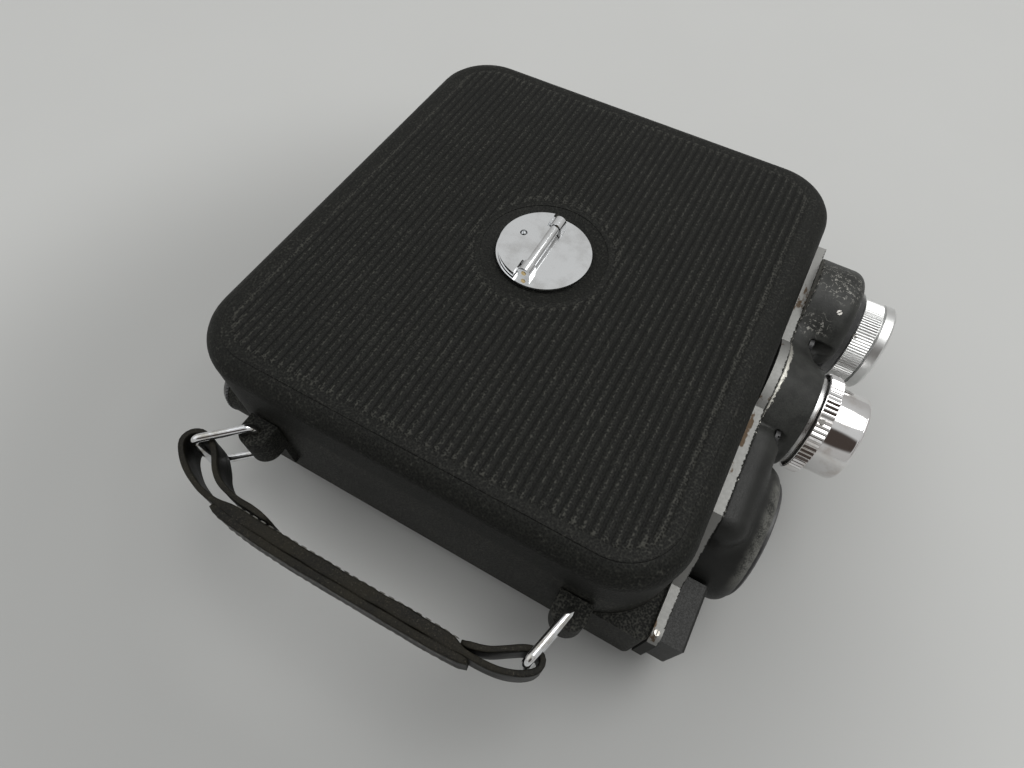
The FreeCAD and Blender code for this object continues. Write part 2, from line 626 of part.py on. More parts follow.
# Turn lock: chrome disc, folding flap, pin, and spindle with its cross bar
def door_lock():
    hinge = ("hingeX", "hingeHeight")
    ears = []
    for side, way in (("low", -1), ("high", 1)):
        ends = sorted((f"{way} * (lockRadius - earInset)", f"{way} * (lockRadius - earInset - earLong)"),
                      key=number)
        y = tuple(f"lockY + {end}" for end in ends)
        block = box(f"{side}_ear_block", ("hingeX - 1.6", "hingeX + 1.6"), y,
                    ("lockTop - 0.2", "hingeHeight"))
        ears += [block, rod(f"{side}_ear_top", "y", hinge, "1.6", *y)]
    disc = fuse("lock_disc_solid", rod("lock_plate", "z", LOCK, "lockRadius", "lockUnder", "lockTop"), *ears)
    keep(cut("lock_disc", disc,
             rod("pin_hole", "y", hinge, "flapPin", "lockY - lockRadius", "lockY + lockRadius"),
             rod("spindle_seat", "z", LOCK, "lockStem", "lockUnder - 1", "lockTop - 0.3")), "lock_disc")
    keep(fuse("lock_spindle",
              rod("lock_stem", "z", LOCK, "lockStem", "barLow", "lockTop - 0.3"),
              box("lock_cross_bar", across("crossBar"), ("lockY - 0.9", "lockY + 0.9"),
                  ("barLow", "barLow + crossThick"))), "lock_spindle")
    flap_low, reach = "hingeHeight - 1", "lockRadius - earInset - earLong - 0.2"
    half = common("flap_half",
                  rod("flap_round", "z", LOCK, "lockRadius - 0.5", flap_low, f"{flap_low} + flapThick"),
                  box("flap_side", ("0 - lockRadius", "hingeX"), ("lockY - lockRadius", "lockY + lockRadius"),
                      ("hingeHeight - 3", "hingeHeight + 3")))
    knuckle = rod("flap_knuckle", "y", hinge, "flapBarrel", f"lockY - ({reach})", f"lockY + {reach}")
    notches = [box(f"flap_notch_{i}", ("hingeX - 2.1", "3"), ends, ("hingeHeight - 3", "hingeHeight + 3"))
               for i, ends in enumerate((("lockY - lockRadius", f"lockY - ({reach})"),
                                         (f"lockY + {reach}", "lockY + lockRadius")))]
    keep(cut("lock_flap", fuse("flap_solid", half, knuckle), *notches,
             rod("flap_bore", "y", hinge, "flapPin + runFit", "lockY - lockRadius", "lockY + lockRadius"),
             rod("flap_eye", "z", ("0 - 6.4", "lockY + 1.4"), "0.9", "hingeHeight - 3", "hingeHeight + 3")),
         "lock_flap")
    keep(rod("flap_pin", "y", hinge, "flapPin", "lockY - lockRadius + earInset - 0.1",
             "lockY + lockRadius - earInset + 0.1"), "flap_pin")


# Mechanism cover with the winding key dish, and the dials set in it
def side_cover():
    outside = rounded("cover_block", across("halfLong - coverInset"), across("halfTall - coverInset"),
                      ("0", "coverDrop"), "cornerRound - coverInset")
    softened = fillet("cover_rounding", outside, "coverEdge", lies_at("z", "0"))
    inset = "coverInset - coverWall"
    tray = cut("cover_tray", softened,
               rounded("cover_room", across(f"halfLong - {inset}"), across(f"halfTall - {inset}"),
                       ("coverWall", "coverDrop + 1"), f"cornerRound - {inset}"))
    cups = [rod("key_cup", "z", DRUM, "keyDish + 1.4", "0.5", "keyDishDeep + 1.2"),
            rod("speed_cup", "z", SPEED, "speedRadius + 1.7", "0.5", "3.2")]
    cups += [rod(f"cover_post_{i}", "z", place, "screwBoss", "0.5", "coverDrop")
             for i, place in enumerate(CASING_SCREWS)]
    holes = [rod("key_dish", "z", DRUM, "keyDish", "0 - 1", "keyDishDeep"),
             rod("arbor_port", "z", DRUM, "arbor + runFit", "0 - 1", "8"),
             rod("speed_dish", "z", SPEED, "speedRadius + 0.3", "0 - 1", "2"),
             rod("speed_port", "z", SPEED, "1.5 + runFit", "0 - 1", "8"),
             rod("counter_seat", "z", COUNTER, "counterGlass + seatFit", "0 - 1", "1.5"),
             rod("counter_port", "z", COUNTER, "counterGlass - 1", "0 - 1", "8")]
    for i, place in enumerate(CASING_SCREWS):
        holes.append(rod(f"cover_hole_{i}", "z", place, "screwRadius", "0 - 1", "coverDrop + 1"))
        holes.append(rod(f"cover_sink_{i}", "z", place, "screwRadius * 2", "0 - 1", "1.8"))
    keep(cut("side_cover", fuse("cover_solid", tray, *cups), *holes), "side_cover")
    head = [("0", "0"), ("screwRadius + 0.95", "0"), ("screwRadius + 1.2", "0.3"),
            ("screwRadius + 1.2", "1.55"), ("screwRadius", "1.55"), ("screwRadius", "coverDrop + 5"),
            ("0", "coverDrop + 5")]
    keep(fuse("cover_screws", *[turned(f"cover_screw_{i}", "z", place, "0.25", head)
                                for i, place in enumerate(CASING_SCREWS)]), "cover_screws")
    keep(turned("counter_window", "z", COUNTER, "0.3",
                [("0", "0"), ("counterGlass - 0.4", "0"), ("counterGlass", "0.4"), ("counterGlass", "1.2"),
                 ("0", "1.2")]), "counter_window")
    keep(turned("counter_dial", "z", COUNTER, "2.7",
                [("0", "0"), ("counterGlass + 2", "0"), ("counterGlass + 2", "0.8"), ("1", "0.8"),
                 ("1", "bridgeTop - 2.7"), ("0", "bridgeTop - 2.7")]), "counter_dial")
    keep(turned("speed_dial", "z", SPEED, "0.3",
                [("0", "0"), ("speedRadius - 0.6", "0"), ("speedRadius", "0.6"), ("speedRadius", "1.5"),
                 ("1.5", "1.5"), ("1.5", "bridgeTop - 0.3"), ("0", "bridgeTop - 0.3")]), "speed_dial")


# Winding key: hub on the arbor, with a handle that folds flat into the dish
def winding_key():
    pin = ("mainY", "keyHeight")
    inside, outside = "keyHub + 0.3", "keyHub + 0.3 + keyArm"
    keep(cut("key_hub", rod("hub_round", "z", DRUM, "keyHub", "0.5", "keyDishDeep - 0.3"),
             rod("hub_pin_hole", "x", pin, "keyPin", "drumX - keyDish", "drumX + keyDish"),
             rod("hub_arbor_hole", "z", DRUM, "arbor", "keyHeight + keyPin + 0.1", "8")), "key_hub")
    keep(rod("key_pin", "x", pin, "keyPin", f"drumX - ({outside})", f"drumX + {outside}"), "key_pin")
    low, high = "keyHeight - keyThick / 2", "keyHeight + keyThick / 2"
    solids = [box("key_grip", (f"drumX - ({outside})", f"drumX + {outside}"),
                  ("mainY - keyLong", "mainY - keyHub - 2.4"), (low, high))]
    for side, x in (("rear", (f"drumX - ({outside})", f"drumX - ({inside})")),
                    ("front", (f"drumX + {inside}", f"drumX + {outside}"))):
        solids.append(box(f"{side}_key_arm", x, ("mainY - keyLong", "mainY"), (low, high)))
        solids.append(rod(f"{side}_key_eye", "x", pin, "keyThick / 2", *x))
    softened = fillet("key_rounding", fuse("key_handle_solid", *solids), "3",
                      lambda edge: runs_along("z")(edge) and lies_at("y", "mainY - keyLong")(edge))
    keep(cut("key_handle", softened,
             rod("key_handle_bore", "x", pin, "keyPin + runFit", "drumX - keyDish", "drumX + keyDish")),
         "key_handle")


# Bright front plate
def front_plate():
    strap_end = "plateSet - halfTall"
    outline = prism("plate_outline", [
        (strap_end, "plateFoot"), (strap_end, "finderHeight + 11.2"), ("finderY + 2", "finderHeight + 11.2"),
        ("cellY - 9", "plateTop"), ("plateEnd - 4", "plateTop"), ("plateEnd", "plateTop - 7"),
        ("plateEnd", "plateFoot"),
    ], "noseFace", "plateFace")
    solid = fuse("plate_solid", outline,
                 rod("plate_bulge", "x", DIAL, "dialLobe + 0.6", "noseFace", "plateFace"))
    softened = fillet("plate_rounding", solid, "2.5",
                      lambda edge: runs_along("x")(edge) and lies_at("y", strap_end)(edge))
    through = "noseFace - 1", "plateFace + 1"
    holes = [
        rod("plate_lens_hole", "x", LENS, "irisSeat + seatFit", *through),
        rod("plate_dial_hole", "x", DIAL, "dialShaft + runFit", *through),
        rod("plate_release_hole", "x", RELEASE, "releaseStem + runFit", *through),
        rod("plate_finder_hole", "x", FINDER, "finderBore", *through),
    ]
    holes += [rod(f"plate_screw_hole_{i}", "x", place, "smallScrew", *through)
              for i, place in enumerate(HOUSING_SCREWS)]
    keep(cut("front_plate", softened, *holes), "front_plate")


# Dark housing with a lobe for the lens, the dial and the light cell
def front_housing():
    def lobe(name, centre, radius, deep):
        front = f"plateFace + {deep}"
        return fillet(name, rod(name + "_rod", "x", centre, radius, "plateFace", front), "lobeEdge",
                      lies_at("x", front))

    ahead = "plateFace + focusFront"
    lens_lobe = cut("scooped_lobe", lobe("lens_lobe", LENS, "lensLobe", "lensLobeDeep"),
                    rod("finger_scallop", "x", DIAL, "scallop", "housingFace", ahead))
    deep, foot = ("plateFace", "housingFace"), "plateFoot + 0.6"
    low = fillet("housing_low", box("housing_block", deep, ("0 - cheekInner", "lensSide + 12.5"),
                                    (foot, "housingTop")), "2", lies_at("x", "housingFace"))
    cheek_end = "0 - cheekOuter"
    block = fillet("cheek_block",
                   box("cheek_box", deep, (cheek_end, "0 - cheekInner + 4"), (foot, "housingTop")),
                   "cheekRound", lambda edge: runs_along("x")(edge) and lies_at("y", cheek_end)(edge)
                   and lies_at("z", "housingTop")(edge))
    cheek = fillet("housing_cheek", block, "cheekEdge", lies_at("x", "housingFace"))
    solid = fuse("housing_solid", low, cheek, lens_lobe, lobe("cell_lobe", CELL, "cellLobe", "cellLobeDeep"),
                 cone("dial_lobe", "x", DIAL, "plateFace", ("dialLobe", "dialLobeFront"), "dialLobeDeep"))
    back, room = "plateFace - 1", ("plateFace + 0.9", "plateFace + 4.5")
    wheel = f"gearModule * {TEETH['dial'] / 2} + 1.3"
    holes = [
        rod("lens_bore", "x", LENS, "irisSeat + seatFit", back, ahead),
        rod("collar_seat", "x", LENS, "collar", "housingFace - collarSeat", ahead),
        rod("iris_room", "x", LENS, wheel, *room),
        rod("idler_room", "x", IDLER, f"gearModule * {TEETH['idler'] / 2} + 1.3", *room),
        rod("dial_gear_room", "x", DIAL, wheel, *room),
        rod("dial_bore", "x", DIAL, "dialShaft + runFit", back, ahead),
        rod("cell_room", "x", CELL, "cellPocket", "housingFace - 0.5", ahead),
        rod("release_bore", "x", RELEASE, "releaseStem + runFit", back, ahead),
        rod("release_seat", "x", RELEASE, "releaseRadius + runFit", "plateFace + 1", ahead),
    ]
    for i, place in enumerate(HOUSING_SCREWS):
        holes.append(rod(f"housing_shank_{i}", "x", place, "smallScrew", back, "housingFace + 1"))
        holes.append(rod(f"housing_sink_{i}", "x", place, "smallScrew + 0.9", "housingFace - 1.2",
                         "housingFace + 1"))
    idler_pin = rod("idler_pin", "x", IDLER, "rollerPin", "plateFace + 0.2", "plateFace + 5")
    keep(fuse("front_housing", cut("housing_hollow", solid, *holes), idler_pin), "front_housing")
    step = "plateThick + housingDeep + 1.25"
    head = [("0", "0"), ("smallScrew", "0"), ("smallScrew", step), ("smallScrew + 0.85", step),
            ("smallScrew + 0.85", f"{step} + 0.85"), ("smallScrew + 0.5", f"{step} + 1.15"),
            ("0", f"{step} + 1.15")]
    keep(fuse("housing_screws", *[turned(f"housing_screw_{i}", "x", place, "noseFace - 2.4", head)
                                  for i, place in enumerate(HOUSING_SCREWS)]), "housing_screws")


# Taking lens: barrel, collar, focusing ring and two glasses
def taking_lens():
    step, tip = "plateThick + housingDeep - collarSeat - 0.1", "plateThick + focusFront - 2.6"
    keep(turned("lens_barrel", "x", LENS, "noseFace + 0.1", [
        ("barrelBore", "0"), ("irisSeat", "0"), ("irisSeat", step), ("barrel", step), ("barrel", tip),
        ("barrelBore", tip)]), "lens_barrel")
    bore, nose = "barrel + seatFit", "focusBack - housingDeep + collarSeat - 0.2"
    keep(turned("lens_collar", "x", LENS, "housingFace - collarSeat", [
        (bore, "0"), ("collar - seatFit", "0"), ("collar - seatFit", f"{nose} - 2.2"),
        ("collar - 0.9", nose),
        (bore, nose)]), "lens_collar")
    keep(turned("focus_ring", "x", LENS, "plateFace", [
        ("barrel + runFit", "focusBack"), ("focusRadius - 0.5", "focusBack"),
        ("focusRadius", "focusBack + 0.5"),
        ("focusRadius", "focusStep"), ("focusRadius - 0.4", "focusStep + 0.2"),
        ("focusRim", "focusStep + 0.5"),
        ("focusRim", "focusFront - 0.6"), ("focusRim - 0.6", "focusFront"), ("focusRim - 1.5", "focusFront"),
        ("barrel + 0.6", "focusFront - 2.2"), ("barrel + runFit", "focusFront - 2.2")]), "focus_ring")
    for name, low, high, bulge, centre in (
            ("front_glass", "plateFace + focusFront - 6.0", "plateFace + focusFront - 3.2", 15,
             "plateFace + focusFront - 18.2"),
            ("rear_glass", "noseFace + 0.6", "noseFace + 3.2", 11, "noseFace + 11.6")):
        ball = doc.addObject("Part::Sphere", name + "_ball")
        ball.Radius = bulge
        blank = rod(name + "_blank", "x", LENS, "barrelBore - seatFit", low, high)
        keep(common(name, blank, put(ball, centre, *LENS)), name)


# Exposure dial on the middle lobe, geared through an idler to the iris ring of the lens
def exposure_dial():
    keep(turned("exposure_dial", "x", DIAL, "plateFace", [
        ("dialShaft", "knobBack"), ("knobRadius - 0.9", "knobBack"), ("knobRadius", "knobBack + 0.8"),
        ("knobRadius", "knobStep - 0.2"), ("knobRadius - 0.4", "knobStep"), ("drumRadius", "knobStep"),
        ("drumRadius", "drumFront - 0.7"), ("drumRadius - 0.7", "drumFront"),
        ("drumRadius - 2.2", "drumFront"),
        ("drumRadius - 3.0", "drumFront - 1.4"), ("dialShaft", "drumFront - 1.4")]), "exposure_dial")
    thick, back = number("dialGear"), number("plateFace + dialGearBack")
    dial_y, idler_y, lens_y, height = (number(v)
                                       for v in ("dialSide", "idlerSide", "lensSide", "opticHeight"))
    toward_lens = 90
    idler_turn = mesh_turn(0, "dial", "idler", toward_lens)
    iris_turn = mesh_turn(idler_turn, "idler", "dial", toward_lens)
    plate, behind = number("plateFace"), number("plateFace - noseFace + 5")
    shaft = Part.makeCylinder(number("dialShaft"), number("drumFront - 1.4") + behind)
    flange = Part.makeCylinder(number("knobRadius - 0.5"), number("knobBack - dialLobeDeep - 0.2"))
    shaft = laid(shaft, "x", plate - behind, dial_y, height).fuse([
        laid(gear_shape(TEETH["dial"], thick), "x", back, dial_y, height),
        laid(flange, "x", number("plateFace + dialLobeDeep + 0.2"), dial_y, height)])
    keep(made("exposure_shaft", shaft.removeSplitter()), "exposure_shaft")
    idler = gear_shape(TEETH["idler"], thick, number("rollerPin + runFit"))
    keep(made("idler_gear", laid(idler, "x", back, idler_y, height, idler_turn)), "idler_gear")
    iris = gear_shape(TEETH["dial"], thick, number("irisSeat + runFit"))
    keep(made("iris_ring", laid(iris, "x", back, lens_y, height, iris_turn)), "iris_ring")


# Light cell in the third lobe, and the meter that it drives
def light_meter():
    rim = "cellPocket - seatFit"
    keep(turned("light_cell", "x", CELL, "housingFace - 0.5",
                [("0", "0"), ("cellPocket - 0.5", "0"), ("cellPocket - 0.5", "0.9"), ("0", "0.9")]),
         "light_cell")
    keep(turned("cell_window", "x", CELL, "housingFace + 0.6",
                [("0", "0"), (rim, "0"), (rim, "1.8"), ("0", "1.8")]), "cell_window")
    keep(turned("cell_bezel", "x", CELL, "housingFace + 2.4",
                [("cellPocket - 2", "0"), (rim, "0"), (rim, "2.3"), ("cellPocket - 0.6", "2.7"),
                 ("cellPocket - 1.2", "2.7"), ("cellPocket - 2", "1.2")]), "cell_bezel")
    bore = "0.4 + runFit"
    keep(turned("meter_movement", "z", METER, "meterLow", [
        (bore, "0"), ("meterRadius", "0"), ("meterRadius", "meterTall"), (bore, "meterTall")]),
         "meter_movement")
    top = "meterLow + meterTall + 0.6"
    keep(fuse("meter_needle", rod("needle_staff", "z", METER, "0.4", "meterLow", f"{top} + 0.8"),
              box("needle_arm", ("meterX - 0.25", "meterX + 0.25"), ("meterY - 10", "meterY + 4"),
                  (top, f"{top} + 0.4"))), "meter_needle")


# Finder: hood and window in front, tube through the body, eyepiece behind
def finder():
    hood = box("hood_block", ("plateFace", "plateFace + hoodDeep"),
               ("2.4 - halfTall", "cellY - cellLobe - 0.2"), ("plateFoot - 0.6", "hoodTop"))
    softened = fillet("hood_edges", hood, "0.7", lies_at("x", "plateFace + hoodDeep"))
    low, high = "finderHeight - hoodWindow", "finderHeight + hoodWindow"
    wide = "finderY - 6", "finderY + 4.5"
    keep(cut("finder_hood", softened,
             box("hood_mouth", ("plateFace + 2", "plateFace + hoodDeep + 1"), wide, (low, high)),
             rod("hood_bore", "x", FINDER, "hoodWindow - 0.2", "plateFace - 1", "plateFace + 3")),
         "finder_hood")
    keep(box("finder_window", ("plateFace + 3.2", "plateFace + 4.4"),
             ("finderY - 6 + 0.04", "finderY + 4.5 - 0.04"), (f"{low} + 0.04", f"{high} - 0.04")),
         "finder_window")
    length = "bodyLong + 1.2 + noseStep"
    keep(turned("finder_tube", "x", FINDER, "0 - halfLong - 1.2", [
        ("finderBore", "0"), ("finderTube - seatFit", "0"), ("finderTube - seatFit", length),
        ("finderBore", length)]), "finder_tube")
    keep(turned("eyepiece_ring", "x", FINDER, "0 - halfLong - 1.4 - eyepieceDeep", [
        ("finderBore", "0.4"), ("finderBore + 1", "0"), ("eyepiece - 1.6", "0"), ("eyepiece - 0.4", "0.6"),
        ("eyepiece", "1.6"), ("eyepiece", "eyepieceDeep"), ("finderBore", "eyepieceDeep")]),
        "eyepiece_ring")
    rim = "finderBore - seatFit"
    keep(turned("eyepiece_lens", "x", FINDER, "0 - halfLong - 1.0", [
        ("0", "0"), ("finderBore - 0.7", "0.5"), (rim, "0.7"), (rim, "2.4"), ("0", "2.4")]), "eyepiece_lens")


def tripod_block(name, half, y):
    """A square bar about the tripod axis."""
    return box(name, (f"tripodX - ({half})", f"tripodX + {half}"), y,
               (f"tripodHeight - ({half})", f"tripodHeight + {half}"))


# Tripod bush, square so that it can't turn in the casting, release button and its spring
def fittings():
    block = tripod_block("bush_block", "tripodBush - seatFit", ("halfTall - tripodDeep", "halfTall"))
    eased = fillet("bush_easing", block, "0.5", runs_along("y"))
    keep(cut("tripod_bush", eased,
             rod("tripod_bore", "y", TRIPOD, "tripodBore", "halfTall - tripodDeep - 1", "halfTall + 1"),
             cone("tripod_lead", "y", TRIPOD, "halfTall - 0.5", ("tripodBore", "tripodBore + 0.6"), "0.6")),
         "tripod_bush")
    button = turned("release_solid", "x", RELEASE, "noseFace - 6", [
        ("0", "0"), ("releaseStem", "0"), ("releaseStem", "plateThick + 9.5 + releaseTravel"),
        ("releaseRadius", "plateThick + 9.5 + releaseTravel"),
        ("releaseRadius", "plateThick + 9.5 + housingDeep"),
        ("releaseRadius - 0.8", "plateThick + 10.2 + housingDeep"), ("0", "plateThick + 9.9 + housingDeep")])
    groove = cut("spring_groove",
                 rod("groove_outside", "x", RELEASE, "releaseRadius - 0.55", "plateFace", "plateFace + 9"),
                 rod("groove_inside", "x", RELEASE, "releaseStem", "plateFace - 1", "plateFace + 10"))
    keep(cut("release_button", button, groove), "release_button")
    low, high = number("plateFace + 1"), number("plateFace + 3.5 + releaseTravel + 0.2")
    spring = coil_spring(high - low, 2.1, 0.25)
    keep(made("release_spring", laid(spring, "x", low, number("releaseY"), number("releaseHeight"))),
         "release_spring")


def coil_spring(long, radius, half):
    """Square wire, twice half on each side, wound along Z in short flat-sided lengths."""
    turns, steps = 4, 20
    rings = []
    for i in range(turns * steps + 1):
        angle = 2 * math.pi * i / steps
        middle = half + (long - 2 * half) * i / (turns * steps)
        rings.append([Vector((radius + out) * math.cos(angle), (radius + out) * math.sin(angle), middle + up)
                      for out, up in ((-half, -half), (half, -half), (half, half), (-half, half))])
    corners = [[rings[0][0], rings[0][3], rings[0][2], rings[0][1]], rings[-1]]
    for here, there in zip(rings, rings[1:]):
        for i in range(4):
            j = (i + 1) % 4
            corners += [[here[i], here[j], there[j]], [here[i], there[j], there[i]]]
    solid = Part.makeSolid(Part.makeShell([Part.Face(Part.makePolygon(c + c[:1])) for c in corners]))
    return solid if solid.Volume > 0 else solid.reversed()


# Strap bails: bent wire that turns in the lugs
def bail(end):
    hole = Vector(*place_of(LUGS[end]), 0)
    turn = math.radians(BAIL_ANGLE[end])
    out = hole + Vector(math.cos(turn), math.sin(turn), 0) * number("bailReach")
    heights = [number(v) for v in ("lugHigh - bailGrip", "bailHigh", "bailLow", "lugLow + bailGrip")]
    corners = [(hole, heights[0]), (hole, heights[1]), (out, heights[1]), (out, heights[2]),
               (hole, heights[2]), (hole, heights[3])]
    path = [Vector(point.x, point.y, height) for point, height in corners]
    keep(made(f"{end}_bail", wire_shape(path, number("wireRadius"), number("wireBend"))), f"{end}_bail")
    return out


def wire_shape(path, radius, bend):
    """Round wire along straight runs joined by arcs of one bend radius."""
    edges = []
    start = path[0]
    for before, corner, after in zip(path, path[1:], path[2:]):
        back = (before - corner).normalize()
        ahead = (after - corner).normalize()
        half = back.getAngle(ahead) / 2
        reach = bend / math.tan(half)
        first, last = corner + back * reach, corner + ahead * reach
        middle = corner + (back + ahead).normalize() * (bend / math.sin(half) - bend)
        edges += [Part.LineSegment(start, first).toShape(), Part.Arc(first, middle, last).toShape()]
        start = last
    edges.append(Part.LineSegment(start, path[-1]).toShape())
    section = Part.Wire(Part.makeCircle(radius, path[0], path[1] - path[0]))
    return Part.Wire(edges).makePipeShell([section], True, False)


# Carrying strap: one leather band on edge, with an eye round each bail
def strap(rear, front):
    low, high, thick = number("strapLow"), number("strapHigh"), number("strapThick")
    eye = number("wireRadius + eyeAir")
    start, end = Vector(rear.x, rear.y, low), Vector(front.x, front.y, low)
    outward = Vector(0, -eye - thick, 0)
    middle = (start + end) * 0.5 + outward + Vector(0, -number("strapSag"), 0)
    tip, tail, inset = start + outward, end + outward, Vector(0, thick, 0)
    band = Part.Face(Part.Wire([
        Part.Arc(tip, middle, tail).toShape(),
        Part.LineSegment(tail, tail + inset).toShape(),
        Part.Arc(tail + inset, middle + inset, tip + inset).toShape(),
        Part.LineSegment(tip + inset, tip).toShape(),
    ])).extrude(Vector(0, 0, high - low))
    eyes = [Part.makeCylinder(eye + thick, high - low, centre) for centre in (start, end)]
    bores = [Part.makeCylinder(eye, high - low, centre) for centre in (start, end)]
    keep(made("strap", band.fuse(eyes).cut(bores).removeSplitter()), "strap")


# Film transport: spools, gate, pressure plate, claw and rollers
def film_path():
    for name, place, bore in (("supply_spool", SUPPLY, "spindle + runFit"),
                              ("takeup_spool", TAKEUP, "spindle")):
        upper = "spoolWide - spoolFlange"
        keep(turned(name, "z", place, "spoolLow", [
            (bore, "0"), ("spoolRadius", "0"), ("spoolRadius", "spoolFlange"), ("spoolCore", "spoolFlange"),
            ("spoolCore", upper), ("spoolRadius", upper), ("spoolRadius", "spoolWide"),
            (bore, "spoolWide")]), name)
    tall = "spoolWide + spindleTop"
    keep(turned("supply_spindle", "z", SUPPLY, "spoolLow - 0.1", [
        ("0", "0"), ("spindle", "0"), ("spindle", f"{tall} - 1"), ("spindle - 1", tall), ("0", tall)]),
        "supply_spindle")
    claw_height = "filmLow + 0.4", "filmLow + 1.6"
    keep(cut("film_gate",
             box("gate_plate", ("gateFace - gateThick", "gateFace"), ("lensSide - 17", "lensSide + 16"),
                 ("deckTop", "filmLow + filmWide + 1.4")),
             box("gate_window", ("gateFace - 3", "gateFace + 3"), ("lensSide - 1.8", "lensSide + 1.8"),
                 ("opticHeight - 2.4", "opticHeight + 2.4")),
             box("claw_slot", ("gateFace - 3", "gateFace + 3"), ("lensSide - 12", "lensSide - 5"),
             claw_height)),
         "film_gate")
    stem = ("lensSide", "opticHeight + 4")
    keep(fuse("pressure_plate",
              box("pressure_pad", ("pressBack", "pressFace"), ("lensSide - padHalf", "lensSide + padHalf"),
                  ("filmLow", "filmLow + filmWide")),
              rod("pressure_stem", "x", stem, "padStem", "pressBack - padTravel - 4", "pressBack")),
         "pressure_plate")
    wall = "pressBack - padTravel - 3", "pressBack - padTravel - 1.6"
    keep(cut("plate_bracket",
             box("bracket_wall", wall, ("lensSide - 6", "lensSide + 6"), ("deckTop", "filmLow + filmWide")),
             rod("bracket_hole", "x", stem, "padStem + runFit", "pressBack - 9", "pressBack")),
         "plate_bracket")
    keep(fuse("claw",
              box("claw_bar", ("gateFace + 0.15", "gateFace + 0.85"),
                  ("lensSide - 12.6", "lensSide - 4.8 - clawTravel"), ("deckUnder - 2", "filmLow + 1.4")),
              box("claw_tooth", ("gateFace - gateThick - 0.3", "gateFace + 0.3"),
                  ("lensSide - 11.5", "lensSide - 10.5"), ("filmLow + 0.6", "filmLow + 1.4"))), "claw")
    for end, place in ROLLERS.items():
        bore, waist = "rollerPin + runFit", "rollerRadius - 0.6"
        keep(turned(f"{end}_roller", "z", place, "filmLow - 0.6", [
            (bore, "0"), ("rollerRadius", "0"), ("rollerRadius", "0.6"), (waist, "1.2"), (waist, "filmWide"),
            ("rollerRadius", "filmWide + 0.6"), ("rollerRadius", "filmWide + 1.2"),
            (bore, "filmWide + 1.2")]), f"{end}_roller")


def governor_place():
    reach = number("gearModule") * (TEETH["main"] + TEETH["governor"]) / 2
    turn = math.radians(GOVERNOR_ANGLE)
    x, y = place_of(DRUM)
    return x + reach * math.cos(turn), y + reach * math.sin(turn)


# Clockwork between bridge plate and deck: spring drum, centre wheel, take-up wheel and governor
def clockwork():
    drum, centre, takeup, governor = place_of(DRUM), place_of(CENTRE), place_of(TAKEUP), governor_place()
    low, high, rim, wall = (number(v) for v in ("mainLow", "mainHigh", "mainRim", "mainWall"))
    bridge, under, staff = number("bridgeLow"), number("deckUnder"), number("staff")
    can = laid(gear_shape(TEETH["main"], rim), "z", *drum, low).fuse(
        post(drum, number("mainCan"), low + rim, high))
    room = post(drum, number("mainCan - mainWall"), low + wall, high - wall)
    can = can.cut([room, post(drum, number("arbor + runFit"), low - 1, high + 1)])
    keep(made("spring_drum", can.removeSplitter()), "spring_drum")
    spring = main_spring(drum, number("arbor + 0.4"), number("mainCan - mainWall - 0.7"), low + wall + 0.3,
                         high - wall - 0.3)
    keep(made("main_spring", spring), "main_spring")
    length = "mainHigh + 0.8 - keyHeight - keyPin - 0.1"
    keep(turned("drum_arbor", "z", DRUM, "keyHeight + keyPin + 0.1", [
        ("0", "0"), ("arbor", "0"), ("arbor", length), ("0", length)]), "drum_arbor")

    direction = math.degrees(math.atan2(centre[1] - drum[1], centre[0] - drum[0]))
    floor, thick, rise = number("crownFloor"), number("crownThick"), number("crownTooth")
    pinion = laid(gear_shape(TEETH["centre"], rim + 0.6), "z", *centre, low - 0.3,
                  turn=mesh_turn(0, "main", "centre", direction))
    upper = laid(gear_shape(TEETH["takeup_pinion"], number("wheelThick + 0.6")), "z", *centre,
                 number("takeupLow - 0.3"))
    web = post(centre, number("crownRadius + 0.6"), floor - thick, floor)
    teeth = [crown_tooth(centre, 360 * i / TEETH["crown"], floor, rise) for i in range(TEETH["crown"])]
    wheel = post(centre, staff, bridge, under + 1).fuse([pinion, upper, web] + teeth)
    keep(made("centre_wheel", wheel.removeSplitter()), "centre_wheel")

    direction = math.degrees(math.atan2(takeup[1] - centre[1], takeup[0] - centre[0]))
    base = number("takeupLow")
    wheel = laid(gear_shape(TEETH["takeup"], number("wheelThick")), "z", *takeup, base,
                 turn=mesh_turn(0, "takeup_pinion", "takeup", direction))
    spindle = number("spindle")
    hub = post(takeup, spindle + 2, base, under - 0.1)
    stem = post(takeup, spindle, base, number("spoolTop + spindleTop"))
    keep(made("takeup_wheel", wheel.fuse([hub, stem]).removeSplitter()), "takeup_wheel")

    pinion = laid(gear_shape(TEETH["governor"], rim + 0.6), "z", *governor, low - 0.3,
                  turn=mesh_turn(0, "main", "governor", GOVERNOR_ANGLE))
    rotor = post(governor, number("governorRadius"), high + 1, high + 3)
    arms = [Part.makeBox(3, 2.4, 5, Vector(governor[0] + side * 4 - 1.5, governor[1] - 1.2, high + 3))
            for side in (-1, 1)]
    spinner = post(governor, staff, bridge, under + 1).fuse([pinion, rotor] + arms)
    keep(made("governor", spinner.removeSplitter()), "governor")


def main_spring(centre, first, last, low, high):
    """The coiled main spring as a flat spiral band."""
    turns, steps, band = 6, 24, 0.35
    inner, outer = [], []
    for i in range(turns * steps + 1):
        angle = 2 * math.pi * i / steps
        radius = first + (last - first) * i / (turns * steps)
        for points, offset in ((inner, 0), (outer, band)):
            points.append(Vector(centre[0] + (radius + offset) * math.cos(angle),
                                 centre[1] + (radius + offset) * math.sin(angle), low))
    ring = inner + outer[::-1] + inner[:1]
    return Part.Face(Part.makePolygon(ring)).extrude(Vector(0, 0, high - low))


